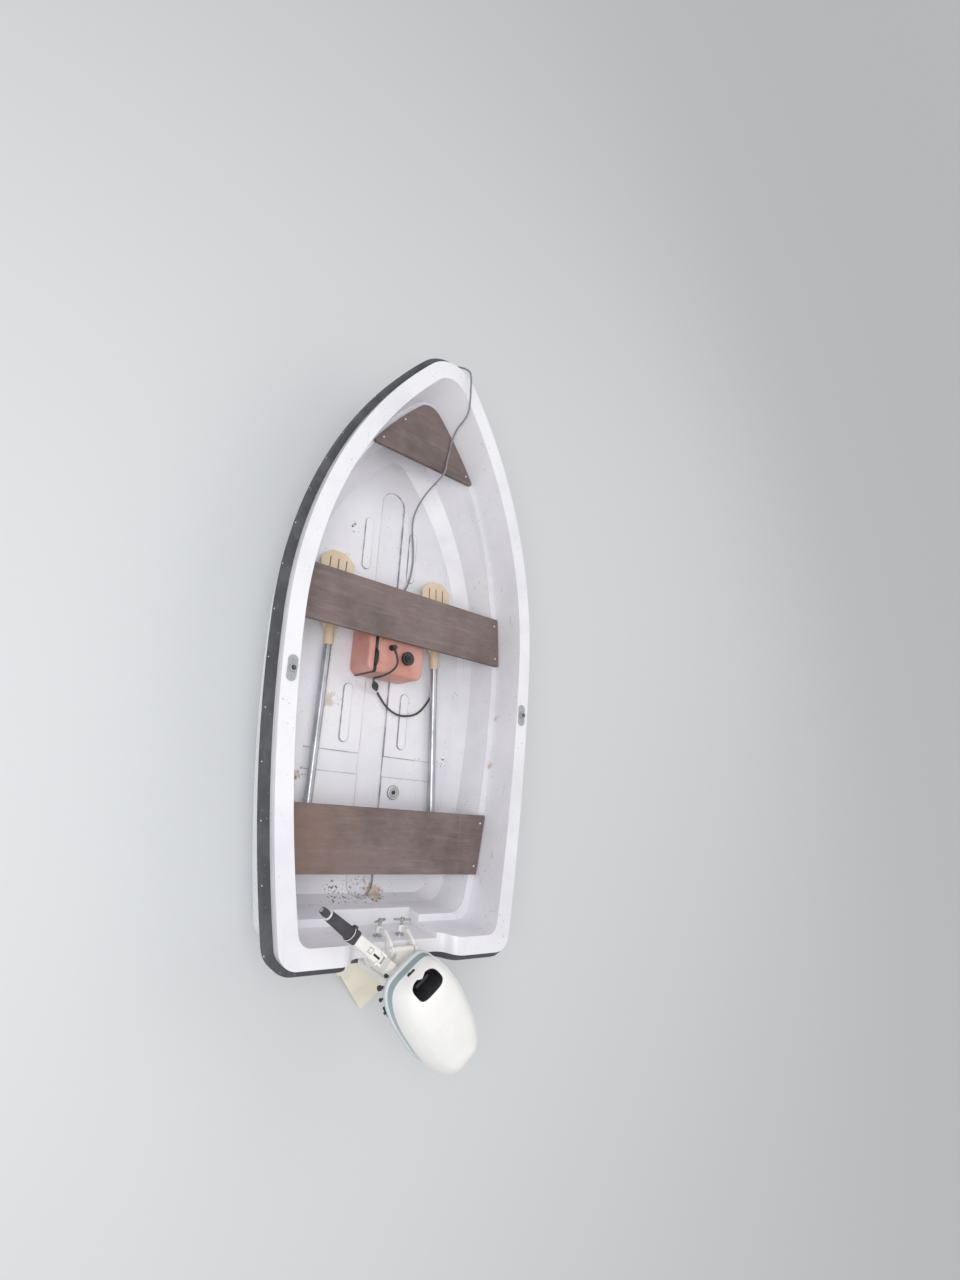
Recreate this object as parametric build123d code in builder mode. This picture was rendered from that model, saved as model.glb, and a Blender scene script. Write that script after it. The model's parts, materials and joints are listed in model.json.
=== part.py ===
from build123d import *
from collections import namedtuple
from math import atan2, cos, pi, radians, sin, sqrt, tan
import os

# Moulded tender dinghy with its outboard motor, oars and fuel tank, in millimetres.
# X points to the bow, Y to port, Z up. The origin is on the centreline at the waterline,
# under the top of the transom.

# Gunwale, seen from above
hull_length = 2500.0
half_beam = 613.0
stern_half = 502.0
widest_x = 1200.0
nose_radius = 160.0
corner_radius = 62.0
flange_width = 52.0
lip_out = 12.0
lip_height = 68.0
skin = 5.0
seat_gap = 0.3

# Sheer line, an arc in side view
sheer_low = 395.0
sheer_low_x = 1040.0
sheer_radius = 15000.0

# Transom and its cut-out for the motor
rake_deg = 10.0
cutout_drop = 65.0
cutout_half = 170.0
cutout_slope = 110.0
transom_wall = 36.0
pocket_half = 185.0
pocket_low = 175.0

# Inner moulding
ledge_z = 242.0
bow_ledge_z = 282.0
ledge_rise_from = hull_length - 940.0
ledge_rise_to = hull_length - 450.0
floor_z = 68.0
channel_half = 64.0
channel_deep = 10.0
rib_length = 250.0
rib_width = 42.0
rib_height = 6.0
step_aft = 668.0
step_fore = 756.0
step_deep = 5.0

# Rubber fender
rail_top = 36.0
rail_height = 38.0
rail_depth = 28.0
rail_end_y = 150.0

# Thwarts
plank = 18.0
plank_gap = 3.0
aft_thwart = (277.0, 530.0)
middle_thwart = (1228.0, 1458.0)
bow_thwart_x = hull_length - 430.0
bow_thwart_gap = 12.0

# Motor: the swivel axis leans with the transom, and the motor is steered to port helm
swivel_x = -72.0
swivel_z = 375.0
steer_deg = 41.0
tilt_pin_x = 96.0
tilt_pin_z = 6.0
tilt_pin_r = 8.0
pin_boss_r = 15.0
run_gap = 0.06
cheek_in = 46.0
cheek_thick = 12.0
swivel_r = 22.0
shaft_r = 14.0
swivel_low = -175.0
swivel_high = -15.0

lean = tan(radians(rake_deg))


def rake(z):
    """X of the transom's outer face at height z."""
    return (sheer(0.0) - z) * lean


def sheer(x):
    """Height of the gunwale's top at x."""
    return sheer_low + sheer_radius - sqrt(sheer_radius**2 - (x - sheer_low_x) ** 2)


# A level of a boat-shaped form: height, x of its flat end and of its tip, half beam,
# half width at the flat end, radius of the tip and of the corners
Plan = namedtuple("Plan", "z flat tip beam end tip_r corner")


def plan_arcs(plan, grow, widest):
    """Points of one side, from the flat end's corner to the tip, as (start, middle, end)."""
    beam = plan.beam + grow
    tip_r = plan.tip_r + grow
    corner = plan.corner + grow
    flat = plan.flat - grow
    tip_x = plan.tip - plan.tip_r
    fore_r = (beam**2 + (widest - tip_x) ** 2 - tip_r**2) / (2 * (beam - tip_r))
    narrowing = plan.beam - plan.end
    aft_r = ((widest - plan.flat) ** 2 + narrowing**2) / (2 * narrowing) + grow
    fore_c = (widest, beam - fore_r)
    aft_c = (widest, beam - aft_r)
    corner_x = flat + corner
    corner_y = aft_c[1] + sqrt((aft_r - corner) ** 2 - (widest - corner_x) ** 2)

    def on(centre, radius, angle):
        return (centre[0] + radius * cos(angle), centre[1] + radius * sin(angle))

    aft_angle = atan2(corner_y - aft_c[1], corner_x - widest)
    fore_angle = atan2(-fore_c[1], tip_x - widest)
    up = radians(90)
    corner_c = (corner_x, corner_y)
    return [
        ((flat, corner_y), on(corner_c, corner, (aft_angle + 2 * up) / 2), on(aft_c, aft_r, aft_angle)),
        (on(aft_c, aft_r, aft_angle), on(aft_c, aft_r, (aft_angle + up) / 2), (widest, beam)),
        ((widest, beam), on(fore_c, fore_r, (fore_angle + up) / 2), on(fore_c, fore_r, fore_angle)),
        (on(fore_c, fore_r, fore_angle), (tip_x + tip_r, 0.0)),
    ]


def level(plan, grow=0.0, base=Plane.XY, way=1, widest=widest_x):
    """Face of one level, its tip towards +X, or towards -X where way is -1."""
    side = plan_arcs(plan, grow, widest)

    def at(point, hand):
        return (way * point[0], hand * point[1])

    with BuildSketch(base.offset(plan.z)) as face:
        with BuildLine():
            Line(at(side[0][0], -1), at(side[0][0], 1))
            for start, middle, end in side[:3]:
                ThreePointArc(at(start, 1), at(middle, 1), at(end, 1))
            nose, tip = side[3]
            ThreePointArc(at(nose, 1), at(tip, 1), at(nose, -1))
            for start, middle, end in reversed(side[:3]):
                ThreePointArc(at(end, -1), at(middle, -1), at(start, -1))
        make_face()
    return face.sketch


def half_width(plan, x, grow=0.0, widest=widest_x):
    """Half width of a level at x, between its corners and its tip."""
    side = plan_arcs(plan, grow, widest)
    beam = plan.beam + grow
    if x < widest:
        narrowing = plan.beam - plan.end
        radius = ((widest - plan.flat) ** 2 + narrowing**2) / (2 * narrowing) + grow
    else:
        tip_x = plan.tip - plan.tip_r
        tip_r = plan.tip_r + grow
        radius = (beam**2 + (widest - tip_x) ** 2 - tip_r**2) / (2 * (beam - tip_r))
    return beam - radius + sqrt(radius**2 - (x - widest) ** 2)


def gunwale_plan(z):
    return Plan(z, rake(z), hull_length, half_beam, stern_half, nose_radius, corner_radius)


def gunwale_body(grow):
    """Band of the gunwale's outline, its transom side raked."""
    with BuildPart() as band:
        loft([level(gunwale_plan(z), grow) for z in (250.0, 520.0)], ruled=True)
    return band.part


def sheer_slab(top, bottom):
    """Slab between two lines that lie top and bottom under the sheer."""
    ends = (-150.0, sheer_low_x, hull_length + 150.0)
    with BuildPart() as slab:
        with BuildSketch(Plane.XZ):
            with BuildLine():
                upper = ThreePointArc(*[(x, sheer(x) - top) for x in ends])
                lower = ThreePointArc(*[(x, sheer(x) - bottom) for x in ends])
                Line(upper @ 0, lower @ 0)
                Line(upper @ 1, lower @ 1)
            make_face()
        extrude(amount=900.0, both=True)
    return slab.part


def cutout_curve(drop):
    """Edges of the transom's dipped top, lowered by drop, inside a BuildLine."""
    top = sheer(0.0) - drop
    low = top - cutout_drop
    outer = cutout_half + cutout_slope
    middle = (cutout_half + cutout_slope / 2, (top + low) / 2)
    for hand in (-1, 1):
        RadiusArc((hand * outer, top), (hand * middle[0], middle[1]), -hand * slope_radius)
        RadiusArc((hand * middle[0], middle[1]), (hand * cutout_half, low), hand * slope_radius)
    Line((-cutout_half, low), (cutout_half, low))
    return outer, top


slope_turn = 2 * atan2(cutout_drop, cutout_slope)
slope_radius = cutout_slope / 2 / sin(slope_turn)
sheer_fall = (sheer(0.0) - sheer(100.0)) / 100.0


def cutout_prism(drop):
    """Space above the transom's dipped top."""
    with BuildPart() as prism:
        with BuildSketch(Plane.YZ):
            with BuildLine():
                outer, top = cutout_curve(drop)
                Polyline((-outer, top), (-outer, 600.0), (outer, 600.0), (outer, top))
            make_face()
        extrude(amount=130.0, dir=(1, 0, -sheer_fall), both=True)
    return prism.part


def cutout_band(top_drop, bottom_drop, near, far, clear_half=0.0):
    """Strip that follows the dipped top, between two planes raked with the transom."""
    with BuildPart() as strip:
        with BuildSketch(Plane.YZ):
            with BuildLine():
                outer, top = cutout_curve(top_drop)
                outer, low = cutout_curve(bottom_drop)
                Line((-outer, top), (-outer, low))
                Line((outer, top), (outer, low))
            make_face()
        extrude(amount=130.0, dir=(1, 0, -sheer_fall), both=True)
        with BuildSketch(Plane.XZ):
            Polygon(
                (rake(150.0) + near, 150.0),
                (rake(150.0) + far, 150.0),
                (rake(550.0) + far, 550.0),
                (rake(550.0) + near, 550.0),
                align=None,
            )
        extrude(amount=600.0, both=True, mode=Mode.INTERSECT)
        if clear_half:
            with BuildSketch(Plane.XY):
                Rectangle(800.0, 2 * clear_half)
            extrude(amount=700.0, mode=Mode.SUBTRACT)
    return strip.part


# Inner moulding: walls above the seat ledge, and the well below it
wall_plans = [
    Plan(520.0, rake(520.0) + flange_width, hull_length - 50.0, 561.0, 450.0, 112.0, 48.0),
    Plan(225.0, rake(225.0) + 60.0, hull_length - 114.0, 554.0, 443.0, 90.0, 62.0),
]
well_plans = [
    Plan(300.0, rake(300.0) + 84.0, hull_length - 128.0, 529.0, 417.0, 84.0, 72.0),
    Plan(235.0, rake(235.0) + 88.0, hull_length - 148.0, 526.0, 413.0, 80.0, 76.0),
    Plan(120.0, rake(120.0) + 104.0, hull_length - 220.0, 500.0, 386.0, 70.0, 86.0),
    Plan(floor_z, 190.0, hull_length - 340.0, 455.0, 340.0, 60.0, 80.0),
]


def ledge_block(drop):
    """Everything below the seat ledge's line, which rises towards the bow."""
    with BuildPart() as block:
        with BuildSketch(Plane.XZ):
            Polygon(
                (-100.0, ledge_z - drop),
                (ledge_rise_from, ledge_z - drop),
                (ledge_rise_to, bow_ledge_z - drop),
                (hull_length, bow_ledge_z - drop),
                (hull_length, 0.0),
                (-100.0, 0.0),
                align=None,
            )
        extrude(amount=700.0, both=True)
    return block.part


def cavity(grow):
    """Hollow of the boat, grown by grow on every side."""
    lowest = well_plans[-1]
    plans = well_plans[:-1] + [lowest._replace(z=lowest.z - grow)]
    with BuildPart() as hollow:
        loft([level(plan, grow) for plan in wall_plans], ruled=True)
        add(ledge_block(grow), mode=Mode.SUBTRACT)
        loft([level(plan, grow) for plan in plans], ruled=True)
        with BuildSketch(Plane.XY.offset(floor_z + 20.0)):
            with Locations((1085.0, 0.0)):
                SlotOverall(1830.0 + 2 * grow, 2 * (channel_half + grow))
        extrude(amount=-(20.0 + channel_deep + grow))
        with BuildSketch(Plane.XY.offset(floor_z + 20.0)):
            with Locations(((step_aft + step_fore) / 2, 0.0)):
                Rectangle(step_fore - step_aft + 2 * grow, 660.0 + 2 * grow)
        extrude(amount=-(20.0 + step_deep + grow))
        with BuildSketch(Plane.XZ):
            Polygon(
                (rake(pocket_low - grow) + transom_wall - grow, pocket_low - grow),
                (rake(520.0) + transom_wall - grow, 520.0),
                (150.0, 520.0),
                (150.0, pocket_low - grow),
                align=None,
            )
        extrude(amount=pocket_half + grow, both=True)
    return hollow.part


cavity_in = cavity(0.0)
cavity_back = cavity(skin)
cavity_core = cavity(skin + seat_gap)
above_sheer = sheer_slab(-200.0, 0.0)

# Outer moulding with its foam core
hull_plans = [
    Plan(520.0, rake(520.0) - 6.0, hull_length + 7.0, 620.0, 510.0, 167.0, 62.0),
    Plan(300.0, rake(300.0), hull_length - 22.0, 606.0, 497.0, 150.0, 62.0),
    Plan(130.0, rake(130.0), hull_length - 88.0, 574.0, 468.0, 120.0, 62.0),
    Plan(30.0, rake(30.0), hull_length - 182.0, 518.0, 424.0, 88.0, 60.0),
    Plan(-20.0, rake(-20.0), hull_length - 275.0, 455.0, 370.0, 70.0, 58.0),
]
bottom_plans = [
    hull_plans[-1],
    Plan(-65.0, 420.0, hull_length - 470.0, 290.0, 240.0, 55.0, 50.0),
    Plan(-90.0, 650.0, hull_length - 680.0, 100.0, 84.0, 45.0, 40.0),
]
keel_half = 17.0
socket_x = 986.0
socket_y = 583.0
socket_hole_r = 11.0
socket_deep = 50.0
eye_z = 300.0
eye_half = 17.0
eye_bar_r = 4.0
eye_out = hull_length + 6.0
eye_in = hull_length - 60.0

with BuildPart() as hull:
    loft([level(plan) for plan in hull_plans], ruled=True)
    loft([level(plan) for plan in bottom_plans], ruled=True)
    with BuildSketch(Plane.XZ):
        Polygon(
            (105.0, -10.0),
            (105.0, -48.0),
            (650.0, -112.0),
            (hull_length - 680.0, -112.0),
            (hull_length - 350.0, -60.0),
            (hull_length - 174.0, 28.0),
            (hull_length - 220.0, 30.0),
            (hull_length - 680.0, -70.0),
            (650.0, -70.0),
            align=None,
        )
    extrude(amount=keel_half, both=True)
    add(sheer_slab(-200.0, skin + seat_gap), mode=Mode.SUBTRACT)
    add(cutout_prism(skin + seat_gap), mode=Mode.SUBTRACT)
    add(cavity_core, mode=Mode.SUBTRACT)
    with BuildSketch(Plane.XY.offset(sheer(socket_x))):
        with Locations((socket_x, socket_y), (socket_x, -socket_y)):
            Circle(socket_hole_r)
    extrude(amount=-(socket_deep + 6.0), mode=Mode.SUBTRACT)
    with BuildSketch(Plane.YZ.offset(eye_in - 2.0)):
        with Locations((0.0, eye_z - eye_half), (0.0, eye_z + eye_half)):
            Circle(eye_bar_r + seat_gap)
    extrude(amount=100.0, mode=Mode.SUBTRACT)
hull.part.label = "hull"

# Inner moulding: floor, walls, ledge, and the gunwale flange with its down-turned lip
rib_places = [
    (920.0, 150.0),
    (920.0, -150.0),
    (hull_length - 795.0, 125.0),
    (hull_length - 795.0, -125.0),
]
drain_x = 605.0
drain_y = -129.0

with BuildPart() as liner:
    add(gunwale_body(lip_out))
    add(sheer_slab(0.0, lip_height), mode=Mode.INTERSECT)
    with BuildPart(mode=Mode.PRIVATE) as under:
        add(gunwale_body(lip_out - skin))
        add(sheer_slab(skin, 400.0), mode=Mode.INTERSECT)
    add(under.part, mode=Mode.SUBTRACT)
    with BuildPart(mode=Mode.PRIVATE) as tray:
        add(cavity_back)
        add(sheer_slab(-200.0, 0.0), mode=Mode.SUBTRACT)
    add(tray.part)
    add(cutout_prism(0.0), mode=Mode.SUBTRACT)
    with BuildSketch(Plane.XY.offset(200.0)):
        with Locations((-60.0, 0.0)):
            Rectangle(130.0, 2 * (cutout_half + cutout_slope))
    extrude(amount=300.0, mode=Mode.SUBTRACT)
    add(cutout_band(0.0, skin, -lip_out, flange_width))
    add(cutout_band(0.0, lip_height, -lip_out, skin - lip_out))
    add(cavity_in, mode=Mode.SUBTRACT)
    for rib_x, rib_y in rib_places:
        with BuildSketch(Plane.XY.offset(floor_z - 1.0)):
            with Locations((rib_x, rib_y)):
                SlotOverall(rib_length, rib_width)
        extrude(amount=rib_height + 1.0)
    with BuildSketch(Plane.XY.offset(sheer(socket_x) + 5.0)):
        with Locations((socket_x, socket_y), (socket_x, -socket_y)):
            Circle(socket_hole_r)
    extrude(amount=-40.0, mode=Mode.SUBTRACT)
liner.part.label = "liner"

# Rubber fender round the gunwale, dipped with the transom's top and open behind the motor
rail_in = lip_out + seat_gap
rail_out = rail_in + rail_depth

with BuildPart() as rub_rail:
    add(gunwale_body(rail_out))
    add(sheer_slab(rail_top, rail_top + rail_height), mode=Mode.INTERSECT)
    add(gunwale_body(rail_in), mode=Mode.SUBTRACT)
    with BuildSketch(Plane.XY.offset(200.0)):
        with Locations((-60.0, 0.0)):
            Rectangle(130.0, 2 * (cutout_half + cutout_slope))
    extrude(amount=300.0, mode=Mode.SUBTRACT)
    add(cutout_band(rail_top, rail_top + rail_height, -rail_out, -rail_in, rail_end_y))
rub_rail.part.label = "rub_rail"

# Thwarts, whose ends follow the walls and lie on the ledge
wall_low = wall_plans[-1]


def cross_thwart(ends, z, name):
    outline = [(x, half_width(wall_low, x, -plank_gap)) for x in ends]
    with BuildPart() as thwart:
        with BuildSketch(Plane.XY.offset(z + seat_gap)):
            Polygon(
                outline[0],
                outline[1],
                (outline[1][0], -outline[1][1]),
                (outline[0][0], -outline[0][1]),
                align=None,
            )
        extrude(amount=plank)
        fillet(thwart.edges().filter_by(Axis.Z), 6.0)
    thwart.part.label = name
    return thwart


thwart_aft = cross_thwart(aft_thwart, ledge_z, "thwart_aft")
thwart_middle = cross_thwart(middle_thwart, ledge_z, "thwart_middle")
bow_face = level(wall_low._replace(z=bow_ledge_z + seat_gap), -bow_thwart_gap)

with BuildPart() as thwart_bow:
    add(bow_face)
    extrude(amount=plank)
    with BuildSketch(Plane.XY):
        with Locations((bow_thwart_x / 2, 0.0)):
            Rectangle(bow_thwart_x, 1400.0)
    extrude(amount=600.0, mode=Mode.SUBTRACT)
    fillet(thwart_bow.edges().filter_by(Axis.Z).group_by(Axis.X)[0], 8.0)
thwart_bow.part.label = "thwart_bow"

# Oarlock sockets: an oblong plate on the flange, with a sleeve down into the gunwale
socket_plate = (96.0, 38.0, 3.0)
socket_bore_r = 6.7
socket_boss_r = 14.0
socket_boss = 10.0
socket_sleeve_r = socket_hole_r - seat_gap


def oarlock_socket(hand, name):
    top = sheer(socket_x) + seat_gap
    with BuildPart() as socket:
        with BuildSketch(Plane.XY.offset(top)):
            with Locations((socket_x, hand * socket_y)):
                SlotOverall(socket_plate[0], socket_plate[1])
        extrude(amount=socket_plate[2])
        with BuildSketch(Plane.XY.offset(top)):
            with Locations((socket_x, hand * socket_y)):
                Circle(socket_boss_r)
        extrude(amount=socket_plate[2] + socket_boss)
        with BuildSketch(Plane.XY.offset(top)):
            with Locations((socket_x, hand * socket_y)):
                Circle(socket_sleeve_r)
        extrude(amount=-socket_deep)
        with BuildSketch(Plane.XY.offset(top + socket_plate[2] + socket_boss)):
            with Locations((socket_x, hand * socket_y)):
                Circle(socket_bore_r)
        extrude(amount=-(socket_plate[2] + socket_boss + socket_deep), mode=Mode.SUBTRACT)
    socket.part.label = name
    return socket


oarlock_port = oarlock_socket(1, "oarlock_port")
oarlock_starboard = oarlock_socket(-1, "oarlock_starboard")

# Self-bailer in the floor
drain_r = 31.0

with BuildPart() as drain:
    with BuildSketch(Plane.XY.offset(floor_z + seat_gap)):
        with Locations((drain_x, drain_y)):
            Circle(drain_r)
            Circle(5.0, mode=Mode.SUBTRACT)
    extrude(amount=4.0)
    with BuildSketch(Plane.XY.offset(floor_z + seat_gap + 4.0)):
        with Locations((drain_x, drain_y)):
            Circle(drain_r - 9.0)
            Circle(drain_r - 17.0, mode=Mode.SUBTRACT)
    extrude(amount=2.0)
drain.part.label = "drain"

# Bow eye, a bent bar through the stem
with BuildPart() as bow_eye:
    with BuildLine():
        bent = FilletPolyline(
            (eye_in, 0.0, eye_z - eye_half),
            (eye_out, 0.0, eye_z - eye_half),
            (eye_out, 0.0, eye_z + eye_half),
            (eye_in, 0.0, eye_z + eye_half),
            radius=eye_half - 0.5,
        )
    with BuildSketch(Plane(origin=bent @ 0, z_dir=bent % 0)):
        Circle(eye_bar_r)
    sweep()
bow_eye.part.label = "bow_eye"

# Oars: alloy tube, moulded blade with a socket, plastic grip
oar_tube_r = 16.5
oar_tube_wall = 2.0
oar_fit = 0.1
neck_r = 20.0
grip_r = 18.0
grip_length = 115.0
grip_plug = 40.0
blade_length = 420.0
blade_width = 164.0
blade_thick = 9.0
blade_neck = 70.0
blade_shoulder = 150.0

# Name, handle end, blade tip
Oar = namedtuple("Oar", "name handle tip")
oars = [
    Oar("oar_port", (300.0, 293.0, floor_z + 18.4), (1606.0, 276.0, floor_z + 21.5)),
    Oar("oar_starboard", (300.0, -350.0, floor_z + 18.6), (1606.0, -252.0, floor_z + 40.0)),
]


def oar_frame(oar):
    """Length and plane of an oar, its X along the shaft and its Z up."""
    run = Vector(oar.tip) - Vector(oar.handle)
    side = Vector(0, 0, 1).cross(run.normalized())
    return run.length, Plane(origin=oar.handle, x_dir=run, z_dir=run.cross(side))


def across(plane, x):
    """Plane square to another's X at x, its own X along that plane's Y."""
    return Plane(origin=plane.origin + plane.x_dir * x, x_dir=plane.y_dir, z_dir=plane.x_dir)


def beside(plane, y=0.0):
    """Plane square to another's Y at y, its own axes that plane's X and Z."""
    return Plane(origin=plane.origin + plane.y_dir * y, x_dir=plane.x_dir, z_dir=-plane.y_dir)


def oar_pieces(oar):
    length, frame = oar_frame(oar)
    blade_from = length - blade_length
    with BuildPart() as shaft:
        with BuildSketch(across(frame, grip_length)):
            Circle(oar_tube_r)
            Circle(oar_tube_r - oar_tube_wall, mode=Mode.SUBTRACT)
        extrude(amount=blade_from + blade_neck - 5.0 - grip_length)
    shaft.part.label = oar.name + "_shaft"
    with BuildPart() as grip:
        with BuildSketch(frame):
            Polygon(
                (0.0, 0.0),
                (0.0, grip_r - 3.0),
                (3.0, grip_r),
                (grip_length - 0.3, grip_r),
                (grip_length - 0.3, oar_tube_r - oar_tube_wall - oar_fit),
                (grip_length + grip_plug, oar_tube_r - oar_tube_wall - oar_fit),
                (grip_length + grip_plug, 0.0),
                align=None,
            )
        revolve(axis=Axis(frame.origin, frame.x_dir))
    grip.part.label = oar.name + "_grip"
    half = blade_width / 2
    with BuildPart() as blade:
        with BuildSketch(frame.offset(-blade_thick / 2)):
            outline = Polygon(
                (blade_from + blade_neck - 20.0, neck_r - 4.0),
                (blade_from + blade_shoulder, half - 8.0),
                (length - 40.0, half),
                (length, half - 46.0),
                (length, -half + 46.0),
                (length - 40.0, -half),
                (blade_from + blade_shoulder, -half + 8.0),
                (blade_from + blade_neck - 20.0, -neck_r + 4.0),
                align=None,
            )
            fillet(outline.vertices().sort_by(Axis(frame.origin, frame.x_dir))[2:], 22.0)
        extrude(amount=blade_thick)
        with BuildSketch(frame):
            Polygon(
                (blade_from, 0.0),
                (blade_from, neck_r),
                (blade_from + blade_neck, neck_r),
                (blade_from + blade_shoulder + 90.0, 6.0),
                (blade_from + blade_shoulder + 90.0, 0.0),
                align=None,
            )
        revolve(axis=Axis(frame.origin, frame.x_dir))
        with BuildSketch(across(frame, blade_from)):
            Circle(oar_tube_r + oar_fit)
        extrude(amount=blade_neck, mode=Mode.SUBTRACT)
        groove_x = length - 105.0
        with BuildSketch(frame.offset(blade_thick / 2)):
            with Locations((groove_x, -40.0), (groove_x, 0.0), (groove_x, 40.0)):
                Rectangle(150.0, 5.0)
        extrude(amount=-2.0, mode=Mode.SUBTRACT)
    blade.part.label = oar.name + "_blade"
    return [shaft, grip, blade]


# Fuel tank under the middle thwart, with its cap and outlet
tank_x = (1085.0, 1325.0)
tank_y = (-131.0, 156.0)
tank_top = 218.0
cap_place = (1168.0, -35.0)
outlet_place = (1200.0, 49.0)
cap_r = 29.0
outlet_r = 13.0
tank_corner = 34.0
tank_edge = 13.0
neck_high = 4.0

with BuildPart() as fuel_tank:
    with BuildSketch(Plane.XY.offset(floor_z + seat_gap)):
        with Locations(((tank_x[0] + tank_x[1]) / 2, (tank_y[0] + tank_y[1]) / 2)):
            RectangleRounded(tank_x[1] - tank_x[0], tank_y[1] - tank_y[0], tank_corner)
    extrude(amount=tank_top - floor_z - seat_gap)
    fillet(fuel_tank.faces().filter_by(Axis.Z).edges(), tank_edge)
    with BuildSketch(Plane.XY.offset(tank_top)):
        with Locations(cap_place):
            Circle(cap_r - 2.0)
        with Locations(outlet_place):
            Circle(outlet_r)
    extrude(amount=neck_high)
fuel_tank.part.label = "fuel_tank"

# Outlet on the tank: a round fitting with a barb that points aft and to starboard
outlet_high = 30.0
barb_z = 242.0
barb_r = 5.0
barb_reach = 25.0
barb_way = Vector(-0.888, -0.460, 0.0).normalized()
barb_end = Vector(outlet_place[0], outlet_place[1], barb_z) + barb_way * barb_reach

with BuildPart() as tank_outlet:
    with BuildSketch(Plane.XY.offset(tank_top + neck_high + seat_gap)):
        with Locations(outlet_place):
            Circle(outlet_r)
    extrude(amount=6.0)
    with BuildSketch(Plane.XY.offset(tank_top + neck_high + seat_gap)):
        with Locations(outlet_place):
            Circle(outlet_r - 3.0)
    extrude(amount=outlet_high)
    with BuildSketch(Plane(origin=barb_end, z_dir=barb_way)):
        Circle(barb_r)
    extrude(amount=-barb_reach)
tank_outlet.part.label = "tank_outlet"

cap_high = 20.0

with BuildPart() as tank_cap:
    with BuildSketch(Plane.XY.offset(tank_top + neck_high + seat_gap)):
        with Locations(cap_place):
            Circle(cap_r)
            with PolarLocations(cap_r + 1.5, 12):
                Circle(3.2, mode=Mode.SUBTRACT)
    extrude(amount=cap_high - 6.0)
    with BuildSketch(Plane.XY.offset(tank_top + neck_high + seat_gap + cap_high - 6.0)):
        with Locations(cap_place):
            Circle(cap_r - 12.0)
    extrude(amount=6.0)
tank_cap.part.label = "tank_cap"

# The motor's frames: one on the swivel axis, one turned with the motor, one with the tiller
lean_rad = radians(rake_deg)
swivel = Plane(
    origin=(swivel_x, 0.0, swivel_z),
    x_dir=(cos(lean_rad), 0.0, sin(lean_rad)),
    z_dir=(-sin(lean_rad), 0.0, cos(lean_rad)),
)


def turned(plane, degrees):
    """Plane turned about its own Z."""
    angle = radians(degrees)
    x_dir = plane.x_dir * cos(angle) + plane.y_dir * sin(angle)
    return Plane(origin=plane.origin, x_dir=x_dir, z_dir=plane.z_dir)


def rolled(plane, degrees):
    """Plane turned about its own X."""
    angle = radians(degrees)
    z_dir = plane.z_dir * cos(angle) + plane.y_dir * sin(angle)
    return Plane(origin=plane.origin, x_dir=plane.x_dir, z_dir=z_dir)


tiller_yaw = 16.0
motor = turned(swivel, steer_deg)
helm = turned(motor, tiller_yaw)


def on_swivel(x, z):
    """Coordinates of a world point of the centre plane in the swivel's frame."""
    local = swivel.to_local_coords(Vector(x, 0.0, z))
    return local.X, local.Z


cut_z = sheer(0.0) - cutout_drop
lip_x, lip_z = on_swivel(rake(cut_z) - lip_out, cut_z)
wall_x, wall_z = on_swivel(rake(cut_z) + transom_wall, cut_z)

# Clamp bracket: two cheeks hooked over the transom, joined by the tilt tube and stop pin
screw_z = -96.0
screw_r = 5.0
screw_reach = 64.0
cheek_mid = cheek_in + cheek_thick / 2
stop_x = 47.5
stop_z = -165.0
hook_x = wall_x + 18.0
hook_thick = 16.0

with BuildPart() as clamp_bracket:
    for hand in (-1, 1):
        with BuildSketch(beside(swivel, hand * cheek_mid)):
            Polygon(
                (lip_x - seat_gap, -190.0),
                (lip_x - seat_gap, lip_z + seat_gap),
                (wall_x + 1.0, wall_z + seat_gap),
                (hook_x, wall_z + seat_gap),
                (hook_x, screw_z - 28.0),
                (hook_x + hook_thick, screw_z - 28.0),
                (hook_x + hook_thick, -54.0),
                (tilt_pin_x + 30.0, tilt_pin_z - 18.0),
                (tilt_pin_x + pin_boss_r, tilt_pin_z - 4.0),
                (tilt_pin_x, tilt_pin_z),
                (tilt_pin_x - 9.0, tilt_pin_z + 12.0),
                (62.0, 4.0),
                (40.0, -34.0),
                (38.0, -205.0),
                (52.0, -212.0),
                align=None,
            )
            with Locations((tilt_pin_x, tilt_pin_z)):
                Circle(pin_boss_r)
        extrude(amount=cheek_thick / 2, both=True)
        with BuildSketch(across(swivel, hook_x - 4.0)):
            with Locations((hand * cheek_mid, screw_z)):
                Circle(13.0)
        extrude(amount=hook_thick + 8.0)
        with BuildSketch(across(swivel, hook_x - 10.0)):
            with Locations((hand * cheek_mid, screw_z)):
                Circle(screw_r + run_gap)
        extrude(amount=hook_thick + 20.0, mode=Mode.SUBTRACT)
    with BuildSketch(beside(swivel)):
        with Locations((tilt_pin_x, tilt_pin_z)):
            Circle(tilt_pin_r)
    extrude(amount=cheek_in + cheek_thick + 7.0, both=True)
    with BuildSketch(beside(swivel)):
        with Locations((stop_x, stop_z)):
            Circle(5.0)
    extrude(amount=cheek_in + cheek_thick + 4.0, both=True)
clamp_bracket.part.label = "clamp_bracket"


def clamp_screw(hand, turn, name):
    with BuildPart() as screw:
        with BuildSketch(across(swivel, wall_x + seat_gap)):
            with Locations((hand * cheek_mid, screw_z)):
                Circle(17.0)
        extrude(amount=5.0)
        with BuildSketch(across(swivel, wall_x + seat_gap)):
            with Locations((hand * cheek_mid, screw_z)):
                Circle(screw_r)
        extrude(amount=screw_reach - 2.0)
        with BuildSketch(across(swivel, wall_x + screw_reach - 15.0)):
            with Locations((hand * cheek_mid, screw_z)):
                Circle(8.0)
        extrude(amount=15.0)
        with BuildSketch(across(swivel, wall_x + screw_reach - 11.0)):
            with Locations(Location((hand * cheek_mid, screw_z, 0.0), turn)):
                SlotOverall(74.0, 8.0)
        extrude(amount=7.0)
    screw.part.label = name
    return screw


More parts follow.
